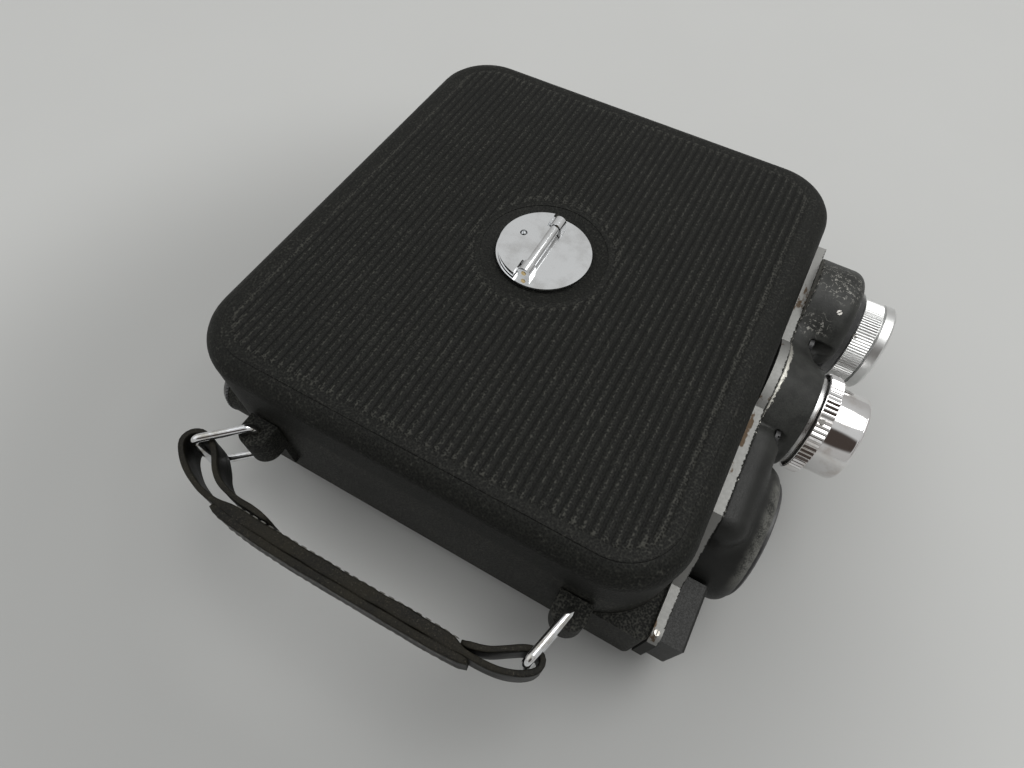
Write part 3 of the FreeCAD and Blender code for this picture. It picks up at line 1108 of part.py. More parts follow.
def crown_tooth(centre, angle, floor, rise):
    """One upright tooth of the crown wheel."""
    radius = number("crownRadius")
    half = math.pi * radius / TEETH["crown"] / 2 * 0.8
    inside, width = radius - 1.6, 2.0
    corners = [Vector(inside, -half, floor), Vector(inside, half, floor),
               Vector(inside, half * 0.45, floor + rise), Vector(inside, -half * 0.45, floor + rise)]
    tooth = Part.Face(Part.makePolygon(corners + corners[:1])).extrude(Vector(width, 0, 0))
    tooth.rotate(Vector(), Vector(0, 0, 1), angle)
    tooth.translate(Vector(*centre, 0))
    return tooth


# Shutter shaft driven by the crown wheel, with the open-sector shutter on its front end
def shutter():
    side, height, plane = number("shutterSide"), number("shutterHeight"), number("shutterPlane")
    radius, thick, back = number("shutterShaft"), number("shutterThick"), number("centreX + 8.6")
    along = Vector(1, 0, 0)
    pitch = number("crownPinion")
    cog = toothed(TEETH["shutter"], [(pitch - 0.85, 0.85), (pitch + 0.5, 0.35)]).extrude(Vector(0, 0, 2.4))
    cog = laid(cog, "x", number("centreX + crownRadius - 1.4"), side, height, turn=180 / TEETH["shutter"])
    shaft = Part.makeCylinder(radius, plane + thick - back, Vector(back, side, height), along)
    keep(made("shutter_shaft", shaft.fuse(cog).removeSplitter()), "shutter_shaft")
    outer = number("shutterRadius")
    disc = Part.makeCylinder(outer, thick, Vector(plane, side, height), along)
    opening = Part.makeCylinder(outer + 1, thick + 0.2, Vector(plane - 0.1, side, height), along, 150)
    hub = Part.makeCylinder(outer / 3, thick, Vector(plane, side, height), along)
    bore = Part.makeCylinder(radius, thick + 2, Vector(plane - 1, side, height), along)
    keep(made("shutter_disc", disc.cut(opening).fuse(hub).cut(bore).removeSplitter()), "shutter_disc")


# Bridge plate that carries the lower pivots, on three pillars under the deck
def bridge_plate():
    plate = rounded("bridge_blank", ("drumX - 34", "drumX + 50"), ("mainY - 48", "mainY + 34"),
                    ("bridgeLow", "bridgeTop"), "4")
    solids = [plate]
    for i, place in enumerate(PILLARS):
        solids.append(rod(f"pillar_{i}", "z", place, "pillar", "bridgeTop - 0.5", "deckUnder"))
        solids.append(rod(f"pillar_end_{i}", "z", place, "pillar - 0.8 - seatFit", "deckUnder - 0.5",
                          "deckUnder + 1"))
    governor = [str(v) for v in governor_place()]
    holes = []
    for name, place, radius in (("arbor", DRUM, "arbor"), ("centre", CENTRE, "staff"),
                                ("governor", governor, "staff"), ("counter", COUNTER, "1"),
                                ("speed", SPEED, "1.5")):
        holes.append(rod(f"bridge_{name}_hole", "z", place, f"{radius} + runFit", "bridgeLow - 1",
                         "bridgeTop + 1"))
    keep(cut("bridge_plate", fuse("bridge_solid", *solids), *holes), "bridge_plate")


body_shell()
film_door()
door_lock()
side_cover()
winding_key()
front_plate()
front_housing()
taking_lens()
exposure_dial()
light_meter()
finder()
fittings()
strap(bail("rear"), bail("front"))
film_path()
clockwork()
shutter()
bridge_plate()

doc.recompute()
for thing in doc.Objects:
    if "Invalid" in thing.State or "Error" in thing.State:
        raise RuntimeError(f"{thing.Label} failed: {thing.State}")
for piece in pieces:
    if piece.Shape.isNull() or not piece.Shape.isValid() or not piece.Shape.Solids:
        raise RuntimeError(f"{piece.Label} has no valid solid")
os.makedirs("parts", exist_ok=True)
for piece in pieces:
    piece.Shape.exportStep(f"parts/{piece.Label}.step")
    print(piece.Label, len(piece.Shape.Solids), round(piece.Shape.Volume, 1))
print(len(pieces), "sub-parts")
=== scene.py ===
import bpy, bmesh, math
from functools import reduce
from mathutils import Matrix, Vector


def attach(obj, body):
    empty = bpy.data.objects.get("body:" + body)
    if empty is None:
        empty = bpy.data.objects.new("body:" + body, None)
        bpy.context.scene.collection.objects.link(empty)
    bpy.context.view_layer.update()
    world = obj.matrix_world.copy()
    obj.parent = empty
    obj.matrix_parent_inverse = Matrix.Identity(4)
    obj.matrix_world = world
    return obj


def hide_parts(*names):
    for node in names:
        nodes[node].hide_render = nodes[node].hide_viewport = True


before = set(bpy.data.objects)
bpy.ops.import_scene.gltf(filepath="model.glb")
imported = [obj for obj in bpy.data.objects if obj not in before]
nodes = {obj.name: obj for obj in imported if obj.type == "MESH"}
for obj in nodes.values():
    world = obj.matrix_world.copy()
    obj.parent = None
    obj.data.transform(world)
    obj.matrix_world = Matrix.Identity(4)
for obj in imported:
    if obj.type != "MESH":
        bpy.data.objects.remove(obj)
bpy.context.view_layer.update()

# The cine camera lies on its mechanism side: +X out of the lenses, strap at -Y, film door up
mm = 0.001
# centres of the turned parts: (y, z) for lens, exposure dial, cell and eyepiece, (x, y) for lock and key
lensAxis, dialAxis, cellAxis = (32.5 * mm, 32 * mm), (2.5 * mm, 32 * mm), (-27.5 * mm, 21 * mm)
eyeAxis, lockAxis, keyAxis = (-51.5 * mm, 18 * mm), (0.0, 0.5 * mm), (-12 * mm, 13 * mm)
print("stage: frame loaded,", len(nodes), "nodes")


# Node trees: these helpers serve both materials and geometry
class Field:
    # one output of a node; arithmetic with it adds Math nodes to the same tree
    def __init__(self, node, output=0):
        self.socket, self.tree = node.outputs[output], node.id_data

    def __add__(self, other):
        return calc("ADD", self, other)

    def __sub__(self, other):
        return calc("SUBTRACT", self, other)

    def __rsub__(self, other):
        return calc("SUBTRACT", other, self)

    def __mul__(self, other):
        return calc("MULTIPLY", self, other)

    def __truediv__(self, other):
        return calc("DIVIDE", self, other)

    def __neg__(self):
        return calc("MULTIPLY", self, -1.0)

    def __abs__(self):
        return calc("ABSOLUTE", self)


def feed(tree, value, socket):
    # links a field or a node's first output to the socket, or sets a plain value on it
    if isinstance(value, bpy.types.Node):
        value = Field(value)
    if isinstance(value, Field):
        tree.links.new(value.socket, socket)
    else:
        socket.default_value = value


def addNode(tree, kind, values=None, **settings):
    node = tree.nodes.new(kind)
    for key, value in settings.items():
        setattr(node, key, value)
    for key, value in (values or {}).items():
        feed(tree, value, node.inputs[key])
    return node


def calc(operation, *values):
    tree = next(value.tree for value in values if isinstance(value, Field))
    return Field(addNode(tree, "ShaderNodeMath", dict(enumerate(values)), operation=operation))


def most(*values):
    return reduce(lambda first, second: calc("MAXIMUM", first, second), values)


def hypot(first, second):
    return calc("SQRT", first * first + second * second)


def smoothStep(value, low, high, start=0.0, end=1.0):
    limits = {"From Min": low, "From Max": high, "To Min": start, "To Max": end}
    return Field(addNode(value.tree, "ShaderNodeMapRange", {"Value": value, **limits},
                         interpolation_type="SMOOTHSTEP"), "Result")


def measured(operation, *points):
    # the length of a point, or the distance or product of two
    node = addNode(points[0].tree, "ShaderNodeVectorMath", dict(enumerate(points)), operation=operation)
    return Field(node, "Value")


def splitPoint(point):
    parts = addNode(point.tree, "ShaderNodeSeparateXYZ", {0: point})
    return [Field(parts, i) for i in range(3)]


def joinPoint(tree, x=0.0, y=0.0, z=0.0):
    return Field(addNode(tree, "ShaderNodeCombineXYZ", {0: x, 1: y, 2: z}))


def mixColour(amount, first, second):
    # a colour is a field or three numbers
    tree = amount.tree
    node = addNode(tree, "ShaderNodeMix", {0: amount}, data_type="RGBA")
    for socket, colour in ((node.inputs[6], first), (node.inputs[7], second)):
        feed(tree, colour if isinstance(colour, Field) else (*colour, 1), socket)
    return Field(node, 2)


# Materials
def startMaterial(name, sockets):
    material = bpy.data.materials.new(name)
    material.use_nodes = True
    tree = material.node_tree
    tree.nodes.clear()
    shader = addNode(tree, "ShaderNodeBsdfPrincipled", sockets)
    addNode(tree, "ShaderNodeOutputMaterial", {"Surface": shader})
    return material, tree, shader


def closeMaterial(material, shader, colour, roughness=None, height=None, depth=0.0):
    tree = material.node_tree
    feed(tree, colour, shader.inputs["Base Color"])
    if roughness:
        feed(tree, roughness, shader.inputs["Roughness"])
    if height:
        bump = addNode(tree, "ShaderNodeBump", {"Height": height, "Distance": depth})
        feed(tree, bump, shader.inputs["Normal"])
    return material


def objectPoint(tree, stretch=(1, 1, 1), shift=(0, 0, 0)):
    here = Field(addNode(tree, "ShaderNodeTexCoord"), "Object")
    if stretch == (1, 1, 1) and shift == (0, 0, 0):
        return here
    return Field(addNode(tree, "ShaderNodeMapping", {"Vector": here, "Scale": stretch, "Location": shift}))


def grain(tree, size, detail=2.0, rough=0.5, stretch=(1, 1, 1), shift=(0, 0, 0)):
    # noise whose features are about size metres
    return Field(addNode(tree, "ShaderNodeTexNoise", {
        "Vector": objectPoint(tree, stretch, shift), "Scale": 1 / size,
        "Detail": detail, "Roughness": rough}), "Fac")


def folds(tree, size):
    return Field(addNode(tree, "ShaderNodeTexVoronoi", {"Vector": objectPoint(tree), "Scale": 1 / size},
                         feature="SMOOTH_F1"), "Distance")


def marks(tree, name):
    # an attribute that the mesh carries
    return Field(addNode(tree, "ShaderNodeAttribute", attribute_name=name), "Fac")


def axisDistance(tree, axis, centre):
    # distance from a line through centre (two coordinates) along x, y or z
    parts = splitPoint(objectPoint(tree))
    parts.pop("xyz".index(axis))
    return hypot(parts[0] - centre[0], parts[1] - centre[1])


def turnedLines(tree, axis, centre, size):
    values = {"W": axisDistance(tree, axis, centre), "Scale": 1 / size}
    return Field(addNode(tree, "ShaderNodeTexNoise", values, noise_dimensions="1D"), "Fac")


wrinkleLook = dict(fold=0.42 * mm, fine=0.16 * mm, depth=0.09 * mm, patch=11 * mm, gloss=0.18,
                   rough=(0.52, 0.72), deep=(0.0012, 0.0013, 0.0011), hollow=(0.0030, 0.0032, 0.0026),
                   land=(0.0100, 0.0104, 0.0086), worn=(0.048, 0.048, 0.041), wornSpan=(0.76, 1.16),
                   wallSpan=(41 * mm, 38 * mm), wallRub=0.2)


def wrinkleEnamel():
    look = wrinkleLook
    material, tree, shader = startMaterial("wrinkleEnamel", {"Specular IOR Level": look["gloss"]})
    fine, patch = grain(tree, look["fine"], 2, 0.6), grain(tree, look["patch"], 3, 0.55)
    height = folds(tree, look["fold"]) * 0.8 + fine * 0.4
    # grooveShade darkens the rib grooves towards the deep colour: a painted shade, weaker in patches
    grooveShade = marks(tree, "grooveShade") * smoothStep(patch, 0.35, 0.65, 1.0, 0.5)
    # the wrinkle's hollows are painted darker than its lands: a painted shade of the relief
    base = mixColour(smoothStep(height, 0.34, 0.66), look["hollow"], look["land"])
    base = mixColour(grooveShade * 0.85, base, look["deep"])
    wall = smoothStep(splitPoint(objectPoint(tree))[2], *look["wallSpan"], 0.0, look["wallRub"])
    # the worn colour shows on raised, rubbed and lower places and as a painted highlight along the rib
    # crests; the painted groove shade holds it back
    bright = height + wall + patch * 0.24 + (marks(tree, "wearAndCrestLight") * 0.55 - grooveShade * 0.4)
    base = mixColour(smoothStep(bright, *look["wornSpan"]), base, look["worn"])
    return closeMaterial(material, shader, base, smoothStep(fine, 0.3, 0.7, *look["rough"]),
                         height, look["depth"])


# spans are pairs in metres between which a mark fades in, along X (out), Y (side) or Z (up);
# each crack zone has its middle and its reach in mm
castLook = dict(fine=0.32 * mm, lump=3.5 * mm, depth=0.035 * mm, gloss=0.35, rough=(0.42, 0.60),
                low=(0.0085, 0.009, 0.008), high=(0.030, 0.031, 0.028), shaded=(0.0045, 0.0048, 0.0042),
                shadedSide=(-9 * mm, -22 * mm), rubbed=(0.16, 0.16, 0.145), rubbedOut=(69.4 * mm, 71.6 * mm),
                rubbedUp=(22 * mm, 34 * mm), rubbedSide=(-15 * mm, -22 * mm), bare=(0.50, 0.49, 0.45),
                cracks=(((67.5, 34.0, 46.5), 8.5), ((65.3, 21.5, 43.0), 5.0)), vein=1.5 * mm, gap=0.9 * mm,
                chip=0.9 * mm, chipReach=1.9 * mm, chipEnd=61.75 * mm, chipEdge=0.1 * mm, chipMore=0.9 * mm,
                moreFrom=(-16 * mm, 2 * mm), moreTo=(14 * mm, 9 * mm), chipUp=(40.6 * mm, 41.4 * mm),
                chipSide=(-37 * mm, -34 * mm))


def castEnamel():
    look = castLook
    material, tree, shader = startMaterial("castEnamel", {"Specular IOR Level": look["gloss"]})
    fine = grain(tree, look["fine"], 3, 0.6)
    rough = fine + grain(tree, look["lump"], 3, 0.5)
    out, side, up = splitPoint(objectPoint(tree))
    base = mixColour(smoothStep(rough, 0.7, 1.3), look["low"], look["high"])
    base = mixColour(smoothStep(side, *look["shadedSide"], 0.0, 0.75), base, look["shaded"])
    # the front rounding of the cell lobe is rubbed grey
    rim = smoothStep(out, *look["rubbedOut"]) * smoothStep(up, *look["rubbedUp"])
    rim = rim * smoothStep(side, *look["rubbedSide"]) * smoothStep(rough, 0.75, 1.2)
    base = mixColour(rim * 0.85, base, look["rubbed"])
    # fine cracks that show bare metal
    vein = abs(grain(tree, look["vein"], 2, 0.6, shift=(0.3, 0.1, 0)) - 0.5)
    vein = smoothStep(vein, 0.010, 0.032, 1.0, 0.0)
    gaps = smoothStep(grain(tree, look["gap"], 2, 0.5, shift=(0.02, 0.2, 0.1)), 0.44, 0.56)
    zones = []
    for centre, reach in look["cracks"]:
        away = measured("DISTANCE", objectPoint(tree), [c * mm for c in centre])
        zones.append(smoothStep(away, 0.35 * reach * mm, reach * mm, 1.0, 0.0))
    cracked = vein * gaps * (most(*zones) * 0.6)
    # the paint is chipped away where the housing meets the bright plate
    ragged = (grain(tree, look["chip"], 3, 0.7) - 0.5) * look["chipReach"]
    wide = smoothStep(side, *look["moreFrom"]) * smoothStep(side, *look["moreTo"])
    limit = wide * look["chipMore"] + (ragged + look["chipEnd"])
    chipped = smoothStep(limit - out, 0.0, look["chipEdge"])
    chipped = chipped * (smoothStep(up, *look["chipUp"]) * smoothStep(side, *look["chipSide"]))
    bare = most(cracked, chipped)
    feed(tree, bare, shader.inputs["Metallic"])
    return closeMaterial(material, shader, mixColour(bare, base, look["bare"]),
                         smoothStep(fine, 0.3, 0.7, *look["rough"]), fine - bare, look["depth"])


plateLook = dict(metal=(0.30, 0.30, 0.29), paint=(0.012, 0.0125, 0.011), depth=0.05 * mm, chip=0.8 * mm,
                 chipReach=1.1 * mm, paintOut=(61.32 * mm, 61.42 * mm), paintUp=(27.5 * mm, 27.8 * mm),
                 paintRagged=1.2 * mm, bareSpot=(60.3 * mm, -60.4 * mm, 29.0 * mm), spot=(2.6 * mm, 2.8 * mm),
                 spotRagged=1.5 * mm, stain=(0.11, 0.08, 0.055), stainSize=1.9 * mm, stainZone=14 * mm,
                 cleanOut=(59.6 * mm, 61.0 * mm), rough=(0.60, 0.66), paintRough=0.25)


def chippedPlate():
    look = plateLook
    material, tree, shader = startMaterial("chippedPlate", {})
    out, up = splitPoint(objectPoint(tree))[::2]
    ragged = grain(tree, look["chip"], 3, 0.7)
    front = out + (ragged - 0.5) * look["chipReach"]
    spot = measured("DISTANCE", objectPoint(tree), look["bareSpot"]) + ragged * look["spotRagged"]
    painted = smoothStep(front, *look["paintOut"]) * smoothStep(spot, *look["spot"])
    painted = most(painted, smoothStep(up + ragged * look["paintRagged"], *look["paintUp"], 1.0, 0.0))
    blot = grain(tree, look["stainSize"], 3, 0.6, (1, 0.45, 1)) * grain(
        tree, look["stainZone"], 1, 0.5, shift=(0.02, 0.05, 0.01))
    stained = smoothStep(blot - smoothStep(out, *look["cleanOut"]) * 0.08, 0.28, 0.34)
    metal = mixColour(stained, look["metal"], look["stain"])
    feed(tree, 1.0 - painted, shader.inputs["Metallic"])
    rough = painted * look["paintRough"] + smoothStep(ragged, 0.3, 0.7, *look["rough"])
    return closeMaterial(material, shader, mixColour(painted, metal, look["paint"]), rough,
                         painted, look["depth"])


def plainMetal(name, colour, dull, roughness, axis=None, centre=(0, 0), line=0.12 * mm, depth=0.004 * mm,
               soilSize=7 * mm):
    # turned lines where an axis is given, otherwise fine rubbing marks
    material, tree, shader = startMaterial(name, {"Metallic": 1.0})
    soil = grain(tree, soilSize, 4, 0.6)
    if axis:
        lines = turnedLines(tree, axis, centre, line)
    else:
        lines = grain(tree, 0.25 * mm, 3, 0.6, (1, 0.12, 1))
    rough = smoothStep(lines, 0.3, 0.7, roughness * 0.75, roughness * 1.2)
    rough = rough + smoothStep(soil, 0.5, 0.8, 0, 0.10)
    base = mixColour(smoothStep(soil, 0.45, 0.72), colour, dull)
    return closeMaterial(material, shader, base, rough, lines, depth)


def dullBlack(name, colour, roughness, axis=None, centre=(0, 0), coat=0.0):
    material, tree, shader = startMaterial(name, {"Coat Weight": coat, "Coat Roughness": 0.08})
    soil = grain(tree, 4 * mm, 4, 0.6)
    base = mixColour(smoothStep(soil, 0.4, 0.8), colour, [c * 1.9 + 0.012 for c in colour])
    if axis:
        height, depth = turnedLines(tree, axis, centre, 0.2 * mm), 0.006 * mm
    else:
        height, depth = grain(tree, 0.3 * mm, 3), 0.01 * mm
    rough = smoothStep(soil, 0.3, 0.75, roughness, roughness + 0.18)
    return closeMaterial(material, shader, base, rough, height, depth)


glassLook = {"IOR": 1.5, "Coat Weight": 0.6, "Coat Roughness": 0.03, "Coat Tint": (0.80, 0.86, 1.0, 1)}


def glass(name, colour, roughness=0.02, clear=1.0, haze=0.05, dusty=(0.55, 0.55, 0.52)):
    material, tree, shader = startMaterial(name, {"Transmission Weight": clear, **glassLook})
    dust = grain(tree, 0.9 * mm, 4, 0.7)
    return closeMaterial(material, shader, mixColour(smoothStep(dust, 0.62, 0.8), colour, dusty),
                         smoothStep(dust, 0.5, 0.8, roughness, roughness + haze))


leatherLook = dict(pore=0.55 * mm, fibre=0.35 * mm, patch=6 * mm, scuff=1.4 * mm, depth=0.06 * mm, gloss=0.2,
                   rough=(0.40, 0.60), dark=(0.0014, 0.0014, 0.0012), mid=(0.0042, 0.0042, 0.0034),
                   worn=(0.017, 0.015, 0.010), fray=(0.075, 0.069, 0.055))


def strapLeather():
    look = leatherLook
    material, tree, shader = startMaterial("strapLeather", {"Specular IOR Level": look["gloss"]})
    edge, pores = marks(tree, "edgeWear"), folds(tree, look["pore"])
    fibre = grain(tree, look["fibre"], 4, 0.7)
    patch = grain(tree, look["patch"], 4, 0.6, (0.5, 0.5, 1))
    scuff = grain(tree, look["scuff"], 4, 0.7, (0.22, 0.22, 1.6), (0.1, 0, 0))
    body = mixColour(smoothStep(pores + patch, 0.55, 1.25), look["dark"], look["mid"])
    body = mixColour(smoothStep(scuff, 0.60, 0.74, 0, 0.5), body, look["worn"])
    body = mixColour(edge * smoothStep(patch + fibre, 0.72, 1.2), body, look["worn"])
    body = mixColour(edge * smoothStep(fibre, 0.60, 0.72), body, look["fray"])
    rough = smoothStep(patch, 0.3, 0.8, *look["rough"]) + edge * 0.2
    height = pores * 0.6 + fibre * 0.5 + scuff * 0.6
    return closeMaterial(material, shader, body, rough, height, look["depth"])


threadLook = dict(twist=0.12 * mm, soil=5 * mm, depth=0.03 * mm, shade=(0.07, 0.067, 0.058),
                  light=(0.20, 0.195, 0.175), soiled=(0.035, 0.032, 0.026))


def stitchThread():
    look = threadLook
    material, tree, shader = startMaterial("stitchThread", {"Sheen Weight": 0.3})
    twist, soil = grain(tree, look["twist"], 2, 0.5, (1, 1, 2.5)), grain(tree, look["soil"], 3)
    clean = mixColour(smoothStep(twist, 0.3, 0.7), look["shade"], look["light"])
    return closeMaterial(material, shader, mixColour(smoothStep(soil, 0.45, 0.65), clean, look["soiled"]),
                         smoothStep(twist, 0.2, 0.8, 0.65, 0.9), twist, look["depth"])


def dialEnamel(name, ground, mark, centre, ticks, inner, outer, roughness=0.3, halfTick=0.11 * mm):
    # a round dial about Z with plain ticks between two radii
    material, tree, shader = startMaterial(name, {})
    x, y = splitPoint(objectPoint(tree))[:2]
    across, along = x - centre[0], y - centre[1]
    reach = hypot(across, along)
    turn = calc("ARCTAN2", along, across) * (ticks / math.tau)
    gap = abs(calc("FRACT", turn) - 0.5) * (reach * (math.tau / ticks))
    band = calc("GREATER_THAN", reach, inner) * calc("LESS_THAN", reach, outer)
    tick = calc("LESS_THAN", gap, halfTick) * band
    age = grain(tree, 3 * mm, 4)
    base = mixColour(smoothStep(age, 0.35, 0.75), ground, [c * 0.72 for c in ground])
    return closeMaterial(material, shader, mixColour(tick, base, mark),
                         smoothStep(age, 0.3, 0.8, roughness, roughness + 0.2), age - tick, 0.01 * mm)


# Every finish of the camera. A metal has its colour, the colour of its soiled places and its roughness
finishes = {finish.name: finish for finish in (
    wrinkleEnamel(), castEnamel(), chippedPlate(), strapLeather(), stitchThread(),
    plainMetal("lockChrome", (0.84, 0.85, 0.86), (0.66, 0.66, 0.66), 0.10, "z", lockAxis, 0.5 * mm,
               0.0012 * mm),
    plainMetal("wireChrome", (0.80, 0.81, 0.83), (0.52, 0.50, 0.46), 0.13, depth=0.003 * mm, soilSize=3 * mm),
    plainMetal("dialChrome", (0.80, 0.79, 0.79), (0.62, 0.58, 0.55), 0.09, "x", dialAxis, 0.4 * mm,
               0.0015 * mm),
    plainMetal("keyChrome", (0.80, 0.81, 0.82), (0.58, 0.57, 0.54), 0.14, depth=0.003 * mm),
    plainMetal("lensAluminium", (0.74, 0.745, 0.74), (0.60, 0.60, 0.59), 0.38, "x", lensAxis),
    plainMetal("tubeAluminium", (0.76, 0.76, 0.76), (0.60, 0.60, 0.59), 0.34),
    plainMetal("machinedSteel", (0.55, 0.55, 0.55), (0.38, 0.37, 0.35), 0.30),
    plainMetal("screwSteel", (0.46, 0.45, 0.43), (0.22, 0.20, 0.17), 0.32, soilSize=2 * mm),
    plainMetal("bluedSteel", (0.14, 0.17, 0.24), (0.10, 0.10, 0.11), 0.25, "z", keyAxis),
    plainMetal("machinedBrass", (0.74, 0.56, 0.28), (0.48, 0.33, 0.15), 0.28, soilSize=5 * mm),
    plainMetal("drumBrass", (0.74, 0.57, 0.30), (0.52, 0.37, 0.17), 0.26, "z", keyAxis),
    dullBlack("collarBlack", (0.014, 0.014, 0.015), 0.16, "x", lensAxis, 0.5),
    dullBlack("satinBlack", (0.022, 0.022, 0.023), 0.34),
    dullBlack("eyeBlack", (0.016, 0.016, 0.017), 0.22, "x", eyeAxis, 0.3),
    dullBlack("cellLayer", (0.05, 0.035, 0.05), 0.25, "x", cellAxis),
    glass("coatedGlass", (0.86, 0.90, 1.0)),
    glass("windowGlass", (0.93, 0.95, 0.94)),
    glass("cellGlass", (0.80, 0.80, 0.74), 0.12, 0.75, 0.2),
    dialEnamel("ivoryDial", (0.76, 0.72, 0.60), (0.03, 0.03, 0.03), (-36 * mm, -31 * mm), 40,
               4.6 * mm, 6.0 * mm),
    dialEnamel("speedDial", (0.02, 0.02, 0.021), (0.70, 0.69, 0.64), (30 * mm, -31 * mm), 24,
               5.9 * mm, 7.9 * mm))}
nodeFinish = {
    "wrinkleEnamel": "body_shell film_door side_cover",
    "castEnamel": "front_housing finder_hood",
    "chippedPlate": "front_plate",
    "lockChrome": "lock_disc lock_flap",
    "wireChrome": "rear_bail front_bail",
    "dialChrome": "exposure_dial release_button",
    "keyChrome": "key_hub key_handle",
    "lensAluminium": "lens_barrel focus_ring",
    "tubeAluminium": "finder_tube",
    "machinedSteel": "lock_spindle exposure_shaft tripod_bush release_spring key_pin supply_spindle "
                     "film_gate pressure_plate plate_bracket claw drum_arbor shutter_shaft cover_screws "
                     "housing_screws",
    "bluedSteel": "meter_needle main_spring",
    "machinedBrass": "flap_pin idler_gear iris_ring centre_wheel takeup_wheel governor bridge_plate",
    "drumBrass": "spring_drum",
    "collarBlack": "lens_collar",
    "satinBlack": "cell_bezel meter_movement supply_spool takeup_spool upper_roller lower_roller "
                  "shutter_disc",
    "eyeBlack": "eyepiece_ring",
    "coatedGlass": "front_glass rear_glass eyepiece_lens",
    "windowGlass": "finder_window counter_window",
    "cellGlass": "cell_window",
    "cellLayer": "light_cell",
    "strapLeather": "strap",
    "ivoryDial": "counter_dial",
    "speedDial": "speed_dial",
}
finished = 0
for finish, names in nodeFinish.items():
    for name in names.split():
        finished += 1
        for place in nodes[name].material_slots:
            place.material = finishes[finish]
print("stage: finishes on", finished, "of", len(nodes), "nodes")


# Geometry trees
def newTree(name, sizes):
    # a geometry tree with one named input for each size, and the finish
    tree = bpy.data.node_groups.new(name, "GeometryNodeTree")
    tree.interface.new_socket("Geometry", in_out="OUTPUT", socket_type="NodeSocketGeometry")
    tree.interface.new_socket("Geometry", in_out="INPUT", socket_type="NodeSocketGeometry")
    for label, value in sizes.items():
        kind = "NodeSocketInt" if isinstance(value, int) else "NodeSocketFloat"
        tree.interface.new_socket(label, in_out="INPUT", socket_type=kind).default_value = value
    tree.interface.new_socket("finish", in_out="INPUT", socket_type="NodeSocketMaterial")
    inputs = tree.nodes.new("NodeGroupInput")
    return tree, {label: Field(inputs, label) for label in ("Geometry", *sizes, "finish")}


def closeTree(tree, given, geometry, smooth=True):
    real = addNode(tree, "GeometryNodeRealizeInstances", {"Geometry": geometry})
    shaded = addNode(tree, "GeometryNodeSetShadeSmooth", {"Geometry": real, "Shade Smooth": smooth})
    coloured = addNode(tree, "GeometryNodeSetMaterial", {"Geometry": shaded, "Material": given["finish"]})
    addNode(tree, "NodeGroupOutput", {0: coloured})
    return tree


def position(tree):
    return Field(tree.nodes.new("GeometryNodeInputPosition"))


def stored(tree, geometry, name, value):
    return addNode(tree, "GeometryNodeStoreNamedAttribute", {
        "Geometry": geometry, "Name": name, "Value": value}, data_type="FLOAT")


def laid(tree, geometry, **values):
    return addNode(tree, "GeometryNodeTransform", {"Geometry": geometry, **values})


def stand(name, data):
    # puts a mesh, lamp or camera into the scene
    thing = bpy.data.objects.new(name, data)
    bpy.context.scene.collection.objects.link(thing)
    return thing


def grow(name, tree, sizes, finish, start=None):
    # runs a tree once and keeps the result as a plain mesh
    piece = stand(name, start or bpy.data.meshes.new(name))
    modifier = piece.modifiers.new("growth", "NODES")
    modifier.node_group = tree
    for item in tree.interface.items_tree:
        if item.in_out == "INPUT" and item.name in sizes:
            modifier[item.identifier] = sizes[item.name]
        elif item.name == "finish":
            modifier[item.identifier] = finishes[finish]
    shape = bpy.data.meshes.new_from_object(piece.evaluated_get(bpy.context.evaluated_depsgraph_get()))
    piece.modifiers.remove(modifier)
    piece.data = shape
    return piece


def settle(piece, body, slot, *replaced):
    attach(piece, body)
    if replaced:
        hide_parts(*replaced)
    print("stage:", piece.name, len(piece.data.polygons), "faces")


# Ribs moulded in the film door: one height field, soft at its rounded border and round the lock
ribSizes = dict(pitch=2.15 * mm, ribs=50, rows=170, deep=117.0 * mm, halfLong=52.3 * mm, halfWide=57.2 * mm,
                corner=10.2 * mm, rise=0.40 * mm, soft=0.6, ringRadius=16.5 * mm, ringY=lockAxis[1],
                face=53.5 * mm, lift=0.02 * mm, outer=-0.75 * mm)
ribFade = dict(full=(0.1 * mm, 1.1 * mm), dive=(-0.1 * mm, 0.3 * mm, -0.12 * mm), crestLight=0.42,
               endRub=(0.1 * mm, 0.7 * mm), endOut=(0.9 * mm, 3.0 * mm, 0.32))


